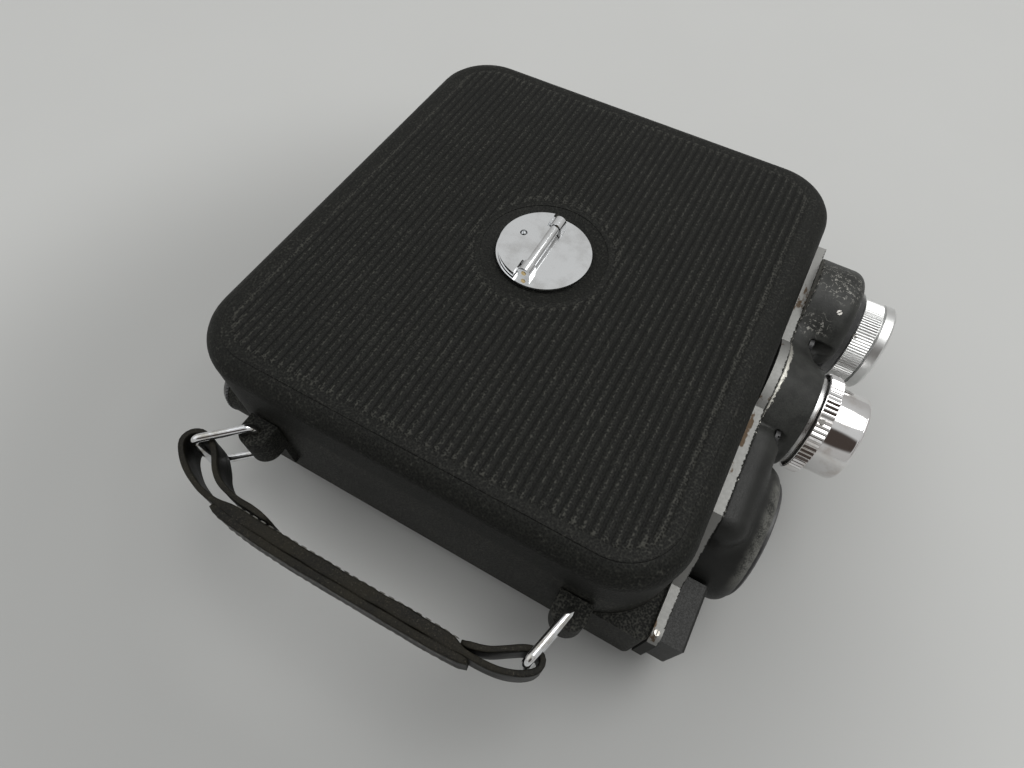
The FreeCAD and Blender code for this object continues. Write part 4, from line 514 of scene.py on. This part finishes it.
def ribbedField():
    tree, given = newTree("ribbedField", ribSizes)
    grid = addNode(tree, "GeometryNodeMeshGrid", {
        "Size X": given["pitch"] * given["ribs"], "Size Y": given["deep"],
        "Vertices X": given["ribs"] * 8.0 + 1.0, "Vertices Y": given["rows"]})
    x, y = splitPoint(position(tree))[:2]
    wave = abs(calc("SINE", x / given["pitch"] * math.pi))
    overX = abs(x) - given["halfLong"] + given["corner"]
    overY = abs(y) - given["halfWide"] + given["corner"]
    beyond = hypot(most(overX, 0.0), most(overY, 0.0)) + calc("MINIMUM", most(overX, overY), 0.0)
    ring = hypot(x, y - given["ringY"]) - given["ringRadius"]
    inside = calc("MINIMUM", given["corner"] - beyond, ring)
    full = smoothStep(inside, *ribFade["full"])
    level = given["face"] + given["lift"] + smoothStep(inside, *ribFade["dive"], 0.0)
    level = level + calc("POWER", wave, given["soft"]) * full * given["rise"]
    placed = addNode(tree, "GeometryNodeSetPosition", {
        "Geometry": grid, "Position": joinPoint(tree, x, y, level)})
    # a thin painted highlight along each rib crest, and worn ends where the ribs run out at the border
    crest = smoothStep(wave, 0.90, 1.0) * full * ribFade["crestLight"]
    ends = smoothStep(inside, *ribFade["endRub"]) * smoothStep(inside, *ribFade["endOut"], 0.0)
    marked = stored(tree, placed, "wearAndCrestLight", crest + ends)
    # the grooves are marked for a painted shade
    marked = stored(tree, marked, "grooveShade", smoothStep(wave, 0.62, 0.0) * full)
    trimmed = addNode(tree, "GeometryNodeDeleteGeometry", {
        "Geometry": marked, "Selection": calc("LESS_THAN", inside, given["outer"])}, domain="POINT")
    return closeTree(tree, given, trimmed)


settle(grow("doorRibs", ribbedField(), ribSizes, "wrinkleEnamel"), "door", "wrinkle_paint")


# Soft raised border of the ribbed field, and the worn ring round the lock dish
beadSizes = dict(long=105.9 * mm, wide=115.5 * mm, corner=11.0 * mm, half=1.5 * mm, rise=0.14 * mm,
                 face=53.5 * mm, radius=0.0, centreY=0.0, wearAndCrestLight=0.1)
ringSizes = dict(beadSizes, radius=16.35 * mm, half=0.9 * mm, centreY=lockAxis[1])


def softBead(name, sizes):
    tree, given = newTree(name, sizes)
    if sizes["radius"]:
        path = addNode(tree, "GeometryNodeCurvePrimitiveCircle", {
            "Resolution": 96, "Radius": given["radius"]})
    else:
        path = addNode(tree, "GeometryNodeCurvePrimitiveQuadrilateral", {
            "Width": given["long"], "Height": given["wide"]})
        path = addNode(tree, "GeometryNodeFilletCurve", {
            "Curve": path, "Count": 16, "Radius": given["corner"]}, mode="POLY")
    section = addNode(tree, "GeometryNodeCurvePrimitiveCircle", {"Resolution": 14, "Radius": given["half"]})
    swept = addNode(tree, "GeometryNodeCurveToMesh", {"Curve": path, "Profile Curve": section})
    bead = laid(tree, swept, Scale=joinPoint(tree, 1.0, 1.0, given["rise"] / given["half"]),
                Translation=joinPoint(tree, 0.0, given["centreY"], given["face"]))
    return closeTree(tree, given, stored(tree, bead, "wearAndCrestLight", given["wearAndCrestLight"]))


for name, treeName, sizes in (("doorBead", "borderBead", beadSizes), ("lockRing", "dishRing", ringSizes)):
    settle(grow(name, softBead(treeName, sizes), sizes, "wrinkleEnamel"), "door", "wrinkle_paint")


# Front housing: a block, a cheek and three lobes run into one another like a casting
housingSizes = dict(back=61.5 * mm, foot=10.0 * mm, blockFront=68.5 * mm, blockTop=43.2 * mm,
                    blockRound=6.0 * mm, blockFrom=-12 * mm, blockTo=45 * mm,
                    cheekFrom=-39.5 * mm, cheekTo=-8.5 * mm,
                    cheekTop=42.6 * mm, cheekRound=5.0 * mm, lensFront=73.5 * mm, lensRadius=16.5 * mm,
                    dialFront=71.4 * mm, dialRadius=15.4 * mm, dialSlope=0.2525, cellFront=73.0 * mm,
                    cellRadius=17.5 * mm, lobeRound=3.6 * mm, scallop=16.8 * mm, scallopSoft=3.0 * mm,
                    blend=3.5 * mm, wall=2.2 * mm, root=50 * mm, roomMiddle=64.2 * mm, roomHalf=1.8 * mm)
housingGrid = dict(low=(60.9, -46.0, 2.5), high=(74.3, 50.0, 49.5), step=0.42)
releaseAxis = (-6.5 * mm, 14 * mm)
housingScrewAxes = [(y * mm, z * mm) for y, z in ((17.5, 40.2), (-11, 39.6), (41.5, 13.5), (8.5, 14))]
# bores that run forward: axis, radius and the X where each starts
housingBores = [(lensAxis, 8.1 * mm, 60 * mm), (lensAxis, 13.1 * mm, 67.3 * mm),
                (cellAxis, 15.05 * mm, 68 * mm), (dialAxis, 1.9 * mm, 60 * mm),
                (releaseAxis, 1.8 * mm, 60 * mm), (releaseAxis, 3.4 * mm, 62.5 * mm)]
housingBores += [(axis, 2.1 * mm, 66.0 * mm) for axis in housingScrewAxes]


def rounded(tree, beyond, edge):
    # distance to a shape whose edges are rounded, from the distances past each of its sides
    outside = measured("LENGTH", joinPoint(tree, *[most(value, 0.0) for value in beyond]))
    return outside + calc("MINIMUM", most(*beyond), 0.0) - edge


def roundedBox(tree, point, low, high, edge):
    # low and high are three fields or numbers each
    beyond = []
    for value, start, end in zip(point, low, high):
        half = calc("MULTIPLY", end - start if isinstance(end, Field) else calc("SUBTRACT", end, start), 0.5)
        beyond.append(abs(value - (half + start)) - (half - edge))
    return rounded(tree, beyond, edge)


def fromAxis(point, centre):
    return hypot(point[1] - centre[0], point[2] - centre[1])


def roundedLobe(tree, point, centre, radius, front, edge):
    return rounded(tree, [fromAxis(point, centre) - (radius - edge), point[0] - (front - edge)], edge)


def housingTree():
    tree, given = newTree("housingShell", housingSizes)
    point = splitPoint(position(tree))
    block = roundedBox(tree, point, [given[key] for key in ("root", "blockFrom", "foot")],
                       [given[key] for key in ("blockFront", "blockTo", "blockTop")], given["blockRound"])
    cheek = roundedBox(tree, point, [given[key] for key in ("root", "cheekFrom", "foot")],
                       [given[key] for key in ("blockFront", "cheekTo", "cheekTop")], given["cheekRound"])
    cone = fromAxis(point, dialAxis) - (given["dialRadius"] - (point[0] - given["back"]) * given["dialSlope"])
    cone = most(cone, point[0] - given["dialFront"])
    lensLobe = roundedLobe(tree, point, lensAxis, given["lensRadius"], given["lensFront"], given["lobeRound"])
    scoop = most(fromAxis(point, dialAxis) - given["scallop"], given["blockFront"] - point[0])
    lensLobe = calc("SMOOTH_MAX", lensLobe, -scoop, given["scallopSoft"])
    cellLobe = roundedLobe(tree, point, cellAxis, given["cellRadius"], given["cellFront"], given["lobeRound"])
    shape = calc("MINIMUM", block, cheek)
    for lobe in (cone, lensLobe, cellLobe):
        shape = calc("SMOOTH_MIN", shape, lobe, given["blend"])
    room = most(shape + given["wall"], abs(point[0] - given["roomMiddle"]) - given["roomHalf"])
    shape = most(shape, -room, given["back"] - point[0])
    for centre, radius, start in housingBores:
        shape = most(shape, -most(fromAxis(point, centre) - radius, start - point[0]))
    grid = housingGrid
    counts = {"Resolution " + axis: round((high - low) / grid["step"])
              for axis, low, high in zip("XYZ", grid["low"], grid["high"])}
    volume = addNode(tree, "GeometryNodeVolumeCube", {
        "Density": shape * -1000.0, "Background": -1.0, "Min": [c * mm for c in grid["low"]],
        "Max": [c * mm for c in grid["high"]], **counts})
    skin = addNode(tree, "GeometryNodeVolumeToMesh", {"Volume": volume, "Threshold": 0.0})
    return closeTree(tree, given, skin)


settle(grow("housingShell", housingTree(), housingSizes, "castEnamel"),
       "case", "housing_paint", "front_housing")


# Knurls: half-sunk bars side by side round an axis that runs along X
def barRing(name, sizes):
    tree, given = newTree(name, sizes)
    ring = addNode(tree, "GeometryNodeMeshCircle", {"Vertices": given["bars"], "Radius": given["radius"]})
    x, y = splitPoint(position(tree))[:2]
    bar = addNode(tree, "GeometryNodeMeshCylinder", {
        "Vertices": 6, "Radius": given["thick"], "Depth": given["long"]})
    lined = addNode(tree, "GeometryNodeInstanceOnPoints", {
        "Points": ring, "Instance": bar, "Rotation": joinPoint(tree, 0.0, 0.0, calc("ARCTAN2", y, x))})
    middle = given["back"] + given["long"] / 2.0
    turned = laid(tree, lined, Rotation=(0, math.pi / 2, 0),
                  Translation=joinPoint(tree, middle, given["centreY"], given["centreZ"]))
    return closeTree(tree, given, turned, False)


focusKnurl = dict(bars=100, radius=11.0 * mm, thick=0.30 * mm, back=75.5 * mm, long=4.5 * mm,
                  centreY=lensAxis[0], centreZ=lensAxis[1])
dialKnurl = dict(bars=64, radius=12.22 * mm, thick=0.55 * mm, back=73.3 * mm, long=2.9 * mm,
                 centreY=dialAxis[0], centreZ=dialAxis[1])
eyeKnurl = dict(bars=60, radius=8.86 * mm, thick=0.40 * mm, back=-60.75 * mm, long=0.8 * mm,
                centreY=eyeAxis[0], centreZ=eyeAxis[1])
for name, treeName, sizes, finish, body, slot in (
        ("focusKnurl", "focusBars", focusKnurl, "lensAluminium", "focus", "aluminium"),
        ("dialKnurl", "dialBars", dialKnurl, "dialChrome", "exposure", "chrome"),
        ("eyeKnurl", "eyeBars", eyeKnurl, "eyeBlack", "case", "black_gloss")):
    settle(grow(name, barRing(treeName, sizes), sizes, finish), body, slot)


# Mirror-bright drum of the exposure dial, turned smooth: a profile of X and radius in mm
drumLook = dict(segments=128, profile=((76.55, 10.74), (76.9, 10.76), (82.9, 10.76), (83.45, 10.66),
                                       (83.85, 10.40), (84.03, 10.0), (84.03, 6.0), (84.03, 0.0)))


def plainMesh(name, verts, faces, finish):
    shape = bpy.data.meshes.new(name)
    shape.from_pydata(verts, [], faces)
    work = bmesh.new()
    work.from_mesh(shape)
    bmesh.ops.recalc_face_normals(work, faces=work.faces)
    work.to_mesh(shape)
    work.free()
    shape.materials.append(finishes[finish])
    shape.shade_smooth()
    return shape


def turnedDrum():
    count, profile = drumLook["segments"], drumLook["profile"]
    verts, faces = [], []
    for x, radius in profile:
        for i in range(count if radius else 1):
            turn = math.tau * i / count
            verts.append((x * mm, dialAxis[0] + radius * math.cos(turn) * mm,
                          dialAxis[1] + radius * math.sin(turn) * mm))
    for row in range(len(profile) - 1):
        for i in range(count):
            near, far, j = row * count, (row + 1) * count, (i + 1) % count
            ahead = (far + j, far + i) if profile[row + 1][1] else (far,)
            faces.append((near + i, near + j, *ahead))
    return stand("dialDrum", plainMesh("dialDrum", verts, faces, "dialChrome"))


settle(turnedDrum(), "exposure", "chrome")


# Honeycomb moulded in the window of the light cell
combSizes = dict(rows=15, pitch=2.1 * mm, reach=12.0 * mm, rise=0.55 * mm, front=70.85 * mm,
                 centreY=cellAxis[0], centreZ=cellAxis[1])


def combTree():
    tree, given = newTree("honeycomb", combSizes)
    spread = (given["rows"] - 1.0) * given["pitch"]
    grid = addNode(tree, "GeometryNodeMeshGrid", {"Size X": spread, "Size Y": spread * 0.866,
                                                  "Vertices X": given["rows"], "Vertices Y": given["rows"]})
    index = Field(tree.nodes.new("GeometryNodeInputIndex"))
    odd = calc("MODULO", calc("MODULO", index, given["rows"]), 2.0)
    shifted = addNode(tree, "GeometryNodeSetPosition", {
        "Geometry": grid, "Offset": joinPoint(tree, odd * given["pitch"] * 0.5)})
    far = calc("GREATER_THAN", measured("LENGTH", position(tree)), given["reach"])
    points = addNode(tree, "GeometryNodeDeleteGeometry", {
        "Geometry": shifted, "Selection": far}, domain="POINT")
    dome = addNode(tree, "GeometryNodeMeshCone", {
        "Vertices": 6, "Side Segments": 1, "Radius Top": given["pitch"] * 0.22,
        "Radius Bottom": given["pitch"] * 0.57, "Depth": given["rise"]})
    cells = addNode(tree, "GeometryNodeInstanceOnPoints", {
        "Points": points, "Instance": laid(tree, dome, Rotation=(0, 0, math.pi / 6))})
    placed = laid(tree, cells, Rotation=(0, math.pi / 2, 0),
                  Translation=joinPoint(tree, given["front"], given["centreY"], given["centreZ"]))
    return closeTree(tree, given, placed, False)


settle(grow("cellHoneycomb", combTree(), combSizes, "cellGlass"), "case", "cell_glass")


# Slotted screws, in mm: one tree, a point and a facing direction for each screw
def screwTree(name, sizes):
    tree, given = newTree(name, sizes)
    head = addNode(tree, "GeometryNodeMeshCylinder", {
        "Vertices": 32, "Radius": given["radius"], "Depth": given["high"]})
    head = laid(tree, head, Translation=joinPoint(tree, 0.0, 0.0, given["high"] * -0.5))
    block = addNode(tree, "GeometryNodeMeshCube", {
        "Size": joinPoint(tree, given["radius"] * 3.0, given["slot"], given["deep"])})
    slotted = addNode(tree, "GeometryNodeMeshBoolean", {
        "Mesh 1": head, "Mesh 2": block}, operation="DIFFERENCE")
    shank = addNode(tree, "GeometryNodeMeshCylinder", {
        "Vertices": 20, "Radius": given["shank"], "Depth": given["long"]})
    below = given["long"] * -0.5 - given["high"] * 0.9
    shank = laid(tree, shank, Translation=joinPoint(tree, 0.0, 0.0, below))
    whole = tree.nodes.new("GeometryNodeJoinGeometry")
    for part in (slotted, shank):
        feed(tree, part, whole.inputs[0])
    spin = addNode(tree, "FunctionNodeRandomValue", {
        "Min": 0.2, "Max": 2.9, "Seed": given["seed"]}, data_type="FLOAT")
    spin = joinPoint(tree, 0.0, 0.0, Field(spin, "Value"))
    facing = addNode(tree, "GeometryNodeInputNamedAttribute", {"Name": "facing"}, data_type="FLOAT_VECTOR")
    aligned = addNode(tree, "FunctionNodeAlignRotationToVector", {"Vector": facing}, axis="Z")
    turned = addNode(tree, "FunctionNodeRotateRotation", {
        "Rotation": aligned, "Rotate By": spin}, rotation_space="LOCAL")
    screws = addNode(tree, "GeometryNodeInstanceOnPoints", {
        "Points": given["Geometry"], "Instance": whole, "Rotation": turned})
    return closeTree(tree, given, screws, False)


def screws(name, sizes, places, finish, body, *replaced):
    sizes = {label: value * mm for label, value in sizes.items() if label != "seed"} | {"seed": sizes["seed"]}
    start = bpy.data.meshes.new(name + "Places")
    start.from_pydata([[c * mm for c in place] for place, facing in places], [], [])
    facing = start.attributes.new("facing", "FLOAT_VECTOR", "POINT")
    for i, (place, direction) in enumerate(places):
        facing.data[i].vector = Vector(direction).normalized()
    settle(grow(name, screwTree(name + "Tree", sizes), sizes, finish, start), body, "steel", *replaced)


coverScrews = dict(radius=2.44, high=1.4, slot=0.7, deep=1.1, shank=1.2, long=9.0, seed=4)
housingScrews = dict(radius=1.84, high=1.0, slot=0.5, deep=0.9, shank=0.98, long=9.0, seed=9)
setScrews = dict(radius=0.62, high=0.5, slot=0.22, deep=0.4, shank=0.4, long=0.6, seed=2)
coverPlaces = [((x, y, 0.25), (0, 0, -1)) for x in (-50, 50) for y in (-40.15, 51.65)]
housingPlaces = [((67.1, y / mm, z / mm), (1, 0, 0)) for y, z in housingScrewAxes]
screws("coverScrewHeads", coverScrews, coverPlaces, "screwSteel", "case", "cover_screws")
screws("housingScrewHeads", housingScrews, housingPlaces, "satinBlack", "case", "housing_screws")
screws("focusSetScrew", setScrews, [((75.75, 25.72, 41.0), (0, -6.68, 8.86))], "screwSteel", "focus")
screws("dialSetScrew", setScrews, [((74.2, -3.95, 43.18), (0, -6.2, 10.74))], "screwSteel", "exposure")
screws("caseSetScrews", setScrews, [((69.0, 25.22, 46.92), (0, -7.23, 14.83)),
                                    ((60.3, -60.4, 29.25), (0, 0, 1))], "screwSteel", "case")


# Leather strap, in mm: one ply wrapped round both bails and sewn to a shorter outer ply.
# The paths are X and Y from above
innerPath = [(-23.2, -81.9), (-27.5, -81.6), (-32, -81.5), (-36.8, -80.6), (-40.2, -78.8), (-42.8, -76.2),
             (-45.6, -74.0), (-48.9, -73.0), (-51.3, -74.2), (-51.9, -76.4), (-50.4, -78.7), (-47.2, -81.0),
             (-43.5, -82.7), (-39, -83.9), (-33, -84.2), (-20, -84.2), (-8, -84.1), (4, -83.9), (12, -83.6),
             (22, -83.5), (28.8, -83.8), (34.2, -83.4), (38.8, -81.9), (41.5, -79.9), (41.9, -77.8),
             (40.4, -76.6), (38, -77.1), (35, -78.9), (31.5, -81.0), (28, -82.1), (25.5, -82.5)]
outerPath = [(-35.5, -85.25), (-31.7, -85.85), (-24, -86.32), (-14, -86.42), (-2, -86.22), (12, -85.92),
             (20, -85.72), (26, -85.35), (29, -84.95)]
strapLook = dict(low=25.4, high=35.6, lean=0.03, step=0.8, cornerRound=0.28, innerThick=1.3, outerThick=1.7,
                 pad=2.75, padFrom=-36.0, padTo=28.0, padBelow=-82.95, wearWidth=0.9)


def padded(point, thick):
    # the middle of the inner ply is filled, so that it is thicker between the two loops
    look = strapLook
    if point.y > look["padBelow"]:
        return 1.0
    reach = max(0.0, min(1.0, (point.x - look["padFrom"]) / 5, (look["padTo"] - point.x) / 4))
    return 1 + (look["pad"] / thick - 1) * reach * reach * (3 - 2 * reach)


def smoothPath(points, step):
    # Catmull-Rom through the points, then even steps along it
    ends = [2 * Vector(points[0]) - Vector(points[1])] + [Vector(p) for p in points]
    ends.append(2 * Vector(points[-1]) - Vector(points[-2]))
    fine = []
    for a, b, c, d in zip(ends, ends[1:], ends[2:], ends[3:]):
        for i in range(24):
            t = i / 24
            fine.append(0.5 * (2 * b + (c - a) * t + (2 * a - 5 * b + 4 * c - d) * t * t
                               + (3 * b - a - 3 * c + d) * t ** 3))
    fine.append(ends[-2])
    even, walked = [fine[0]], 0.0
    for before, after in zip(fine, fine[1:]):
        walked += (after - before).length
        if walked >= step:
            even.append(after)
            walked = 0.0
    return even


def outward(line, i):
    # across the path at its point i, away from the camera body
    along = (line[min(i + 1, len(line) - 1)] - line[max(i - 1, 0)]).normalized()
    return Vector((along.y, -along.x))


def bandSection(thick, half):
    # a rectangle with rounded corners, divided along its two long sides
    corner = strapLook["cornerRound"]
    outline, section = [], []
    for ox, oz, start in ((1, 1, 0), (-1, 1, 90), (-1, -1, 180), (1, -1, 270)):
        for i in range(4):
            turn = math.radians(start + 30 * i)
            outline.append((ox * (thick / 2 - corner) + corner * math.cos(turn),
                            oz * (half - corner) + corner * math.sin(turn)))
    for i, point in enumerate(outline):
        section.append(point)
        if i in (7, 15):
            other = outline[(i + 1) % 16]
            section += [(point[0], point[1] + (other[1] - point[1]) * s) for s in (0.2, 0.4, 0.6, 0.8)]
    return section


def bandMesh(name, path, thick, wobble, filled=False):
    look = strapLook
    line = smoothPath(path, look["step"])
    middle, half = (look["low"] + look["high"]) / 2, (look["high"] - look["low"]) / 2
    section = bandSection(thick, half)
    verts, wear = [], []
    for i, point in enumerate(line):
        out = outward(line, i)
        taper = min(1.0, (i + 1) / 3, (len(line) - i) / 3)
        width = 1 + wobble * 0.012 * math.sin(i * 0.37) + wobble * 0.008 * math.sin(i * 1.13 + 2)
        for across, up in section:
            bulge = (1 + 0.05 * math.sin(i * 0.61 + up)) * (padded(point, thick) if filled else 1.0)
            side = point + out * across * bulge * (0.55 + 0.45 * taper)
            height = middle + up * width * (0.86 + 0.14 * taper)
            verts.append((side.x * mm, (side.y + look["lean"] * up) * mm, height * mm))
            worn = max(0.0, (abs(up) - half + look["wearWidth"]) / look["wearWidth"]) ** 1.5
            wear.append(worn if abs(up) < half else 1.0)
    count = len(section)
    faces = [list(range(count))[::-1], [len(verts) - count + i for i in range(count)]]
    for i in range(len(line) - 1):
        for j in range(count):
            k = (j + 1) % count
            faces.append([i * count + j, i * count + k, (i + 1) * count + k, (i + 1) * count + j])
    shape = plainMesh(name, verts, faces, "strapLeather")
    shape.attributes.new("edgeWear", "FLOAT", "POINT").data.foreach_set("value", wear)
    return shape


def leatherStrap():
    work = bmesh.new()
    work.from_mesh(bandMesh("innerPly", innerPath, strapLook["innerThick"], 1.0, True))
    work.from_mesh(bandMesh("outerPly", outerPath, strapLook["outerThick"], 0.6))
    joined = bpy.data.meshes.new("leatherStrap")
    work.to_mesh(joined)
    work.free()
    joined.materials.append(finishes["strapLeather"])
    joined.shade_smooth()
    return stand("leatherStrap", joined)


settle(leatherStrap(), "carry_strap", "leather", "strap")


# Stitches: short threads that follow the outer ply near both edges, and show on the inner one.
# Each row has a path, an offset from it and a height
stitchSizes = dict(pitch=2.1 * mm, long=1.5 * mm, thick=0.30 * mm)
stitchRows = [(outerPath, 0.86, 34.2), (outerPath, 0.86, 26.8),
              (innerPath[14:21], -1.46, 35.15), (innerPath[14:21], -1.46, 26.2)]


def stitchTree():
    tree, given = newTree("stitchRow", stitchSizes)
    line = addNode(tree, "GeometryNodeMeshToCurve", {"Mesh": given["Geometry"]})
    even = addNode(tree, "GeometryNodeResampleCurve", {
        "Curve": line, "Length": given["pitch"]}, mode="LENGTH")
    thread = addNode(tree, "GeometryNodeMeshUVSphere", {"Segments": 8, "Rings": 6, "Radius": 0.5})
    thread = laid(tree, thread, Scale=joinPoint(tree, given["thick"], given["thick"], given["long"]))
    tangent = tree.nodes.new("GeometryNodeInputTangent")
    along = addNode(tree, "FunctionNodeAlignRotationToVector", {"Vector": tangent}, axis="Z")
    row = addNode(tree, "GeometryNodeInstanceOnPoints", {
        "Points": even, "Instance": thread, "Rotation": along})
    return closeTree(tree, given, row)


def stitchLines():
    points, edges = [], []
    for path, offset, height in stitchRows:
        line = smoothPath(path, 1.0)[3:-3]
        edges += [(len(points) + i, len(points) + i + 1) for i in range(len(line) - 1)]
        for i, point in enumerate(line):
            side = point + outward(line, i) * offset
            lean = strapLook["lean"] * (height - (strapLook["low"] + strapLook["high"]) / 2)
            points.append((side.x * mm, (side.y + lean) * mm, height * mm))
    lines = bpy.data.meshes.new("stitchLines")
    lines.from_pydata(points, edges, [])
    return lines


settle(grow("strapStitches", stitchTree(), stitchSizes, "stitchThread", stitchLines()),
       "carry_strap", "leather")


# Floor: plain pale board with a painted soft shadow, a ring round the camera where it is a little darker
floorLook = dict(size=3.0, level=-0.0002, tone=(0.548, 0.552, 0.544), mottle=0.02, cloud=60 * mm, shade=0.72,
                 shadowCentre=(-0.020, -0.055, 0), near=(0.030, 0.072), far=(0.090, 0.185))


def paleFloor():
    look = floorLook
    shape = bpy.data.meshes.new("floor")
    half = look["size"] / 2
    corners = ((-half, -half), (half, -half), (half, half), (-half, half))
    shape.from_pydata([(x, y, look["level"]) for x, y in corners], [], [(0, 1, 2, 3)])
    material, tree, shader = startMaterial("paleBoard", {"Roughness": 0.8, "Specular IOR Level": 0.25})
    board = mixColour(grain(tree, look["cloud"], 3), [c * (1 - look["mottle"]) for c in look["tone"]],
                      [c * (1 + look["mottle"]) for c in look["tone"]])
    # painted shadow of the camera: the board is darker in a soft ring round it
    away = measured("DISTANCE", objectPoint(tree), look["shadowCentre"])
    ring = smoothStep(away, *look["near"]) * smoothStep(away, *look["far"], 1.0, 0.0)
    paintedShadowDim = 1.0 - ring * (1 - look["shade"])
    shape.materials.append(closeMaterial(material, shader, mixColour(paintedShadowDim, (0, 0, 0), board)))
    stand("floor", shape)


paleFloor()

# Soft studio light: a big key high over the tripod side, a dim fill, and a pale room with a dim patch of wall
# high over the strap side, which the bright metal mirrors
lightLook = dict(
    key=dict(place=(0.32, 0.42, 1.35), size=1.1, power=10.0, tint=(1.0, 0.995, 0.98)),
    fill=dict(place=(-0.9, -0.4, 0.9), size=1.4, power=2.0, tint=(0.97, 0.985, 1.0)), aim=(0.0, 0.0, 0.02))
roomLook = dict(top=(0.62, 0.625, 0.62), side=(0.44, 0.435, 0.425), rise=(0.10, 0.95),
                wall=(0.06, 0.048, 0.042), wallWay=(0.218, -0.710, 0.669), wallEdge=(0.906, 0.956))


def areaLight(name, place, size, power, tint):
    light = bpy.data.lights.new(name, "AREA")
    light.shape, light.size, light.energy, light.color = "DISK", size, power, tint
    lamp = stand(name, light)
    lamp.location = place
    lamp.rotation_euler = (Vector(lightLook["aim"]) - Vector(place)).to_track_quat("-Z", "Y").to_euler()


def paleRoom():
    look = roomLook
    world = bpy.data.worlds.new("paleRoom")
    world.use_nodes = True
    tree = world.node_tree
    way = Field(addNode(tree, "ShaderNodeTexCoord"), "Generated")
    sky = mixColour(smoothStep(splitPoint(way)[2], *look["rise"]), look["side"], look["top"])
    toWall = measured("DOT_PRODUCT", way, Vector(look["wallWay"]).normalized())
    sky = mixColour(smoothStep(toWall, *look["wallEdge"]), sky, look["wall"])
    feed(tree, sky, tree.nodes["Background"].inputs[0])
    bpy.context.scene.world = world


for name in ("key", "fill"):
    areaLight(name, **lightLook[name])
paleRoom()
bpy.context.scene.view_settings.view_transform = "Standard"

# The photograph's view
viewLook = dict(place=(0.039518, -0.093421, 0.164557), aim=(0.00466, -0.02237, 0.028), roll=0.057,
                lens=21.445)


def placeCamera():
    look = viewLook
    place = Vector(look["place"])
    ahead = (Vector(look["aim"]) - place).normalized()
    right = ahead.cross(Vector((0, 0, 1))).normalized()
    up = right.cross(ahead)
    turnedRight = math.cos(look["roll"]) * right + math.sin(look["roll"]) * up
    turnedUp = math.cos(look["roll"]) * up - math.sin(look["roll"]) * right
    lens = bpy.data.cameras.new("view")
    lens.lens, lens.sensor_width, lens.clip_start, lens.clip_end = look["lens"], 36, 0.01, 20
    camera = stand("view", lens)
    turned = Matrix((turnedRight, turnedUp, -ahead)).transposed().to_4x4()
    camera.matrix_world = Matrix.Translation(place) @ turned
    bpy.context.scene.camera = camera


placeCamera()
print("stage: scene ready")
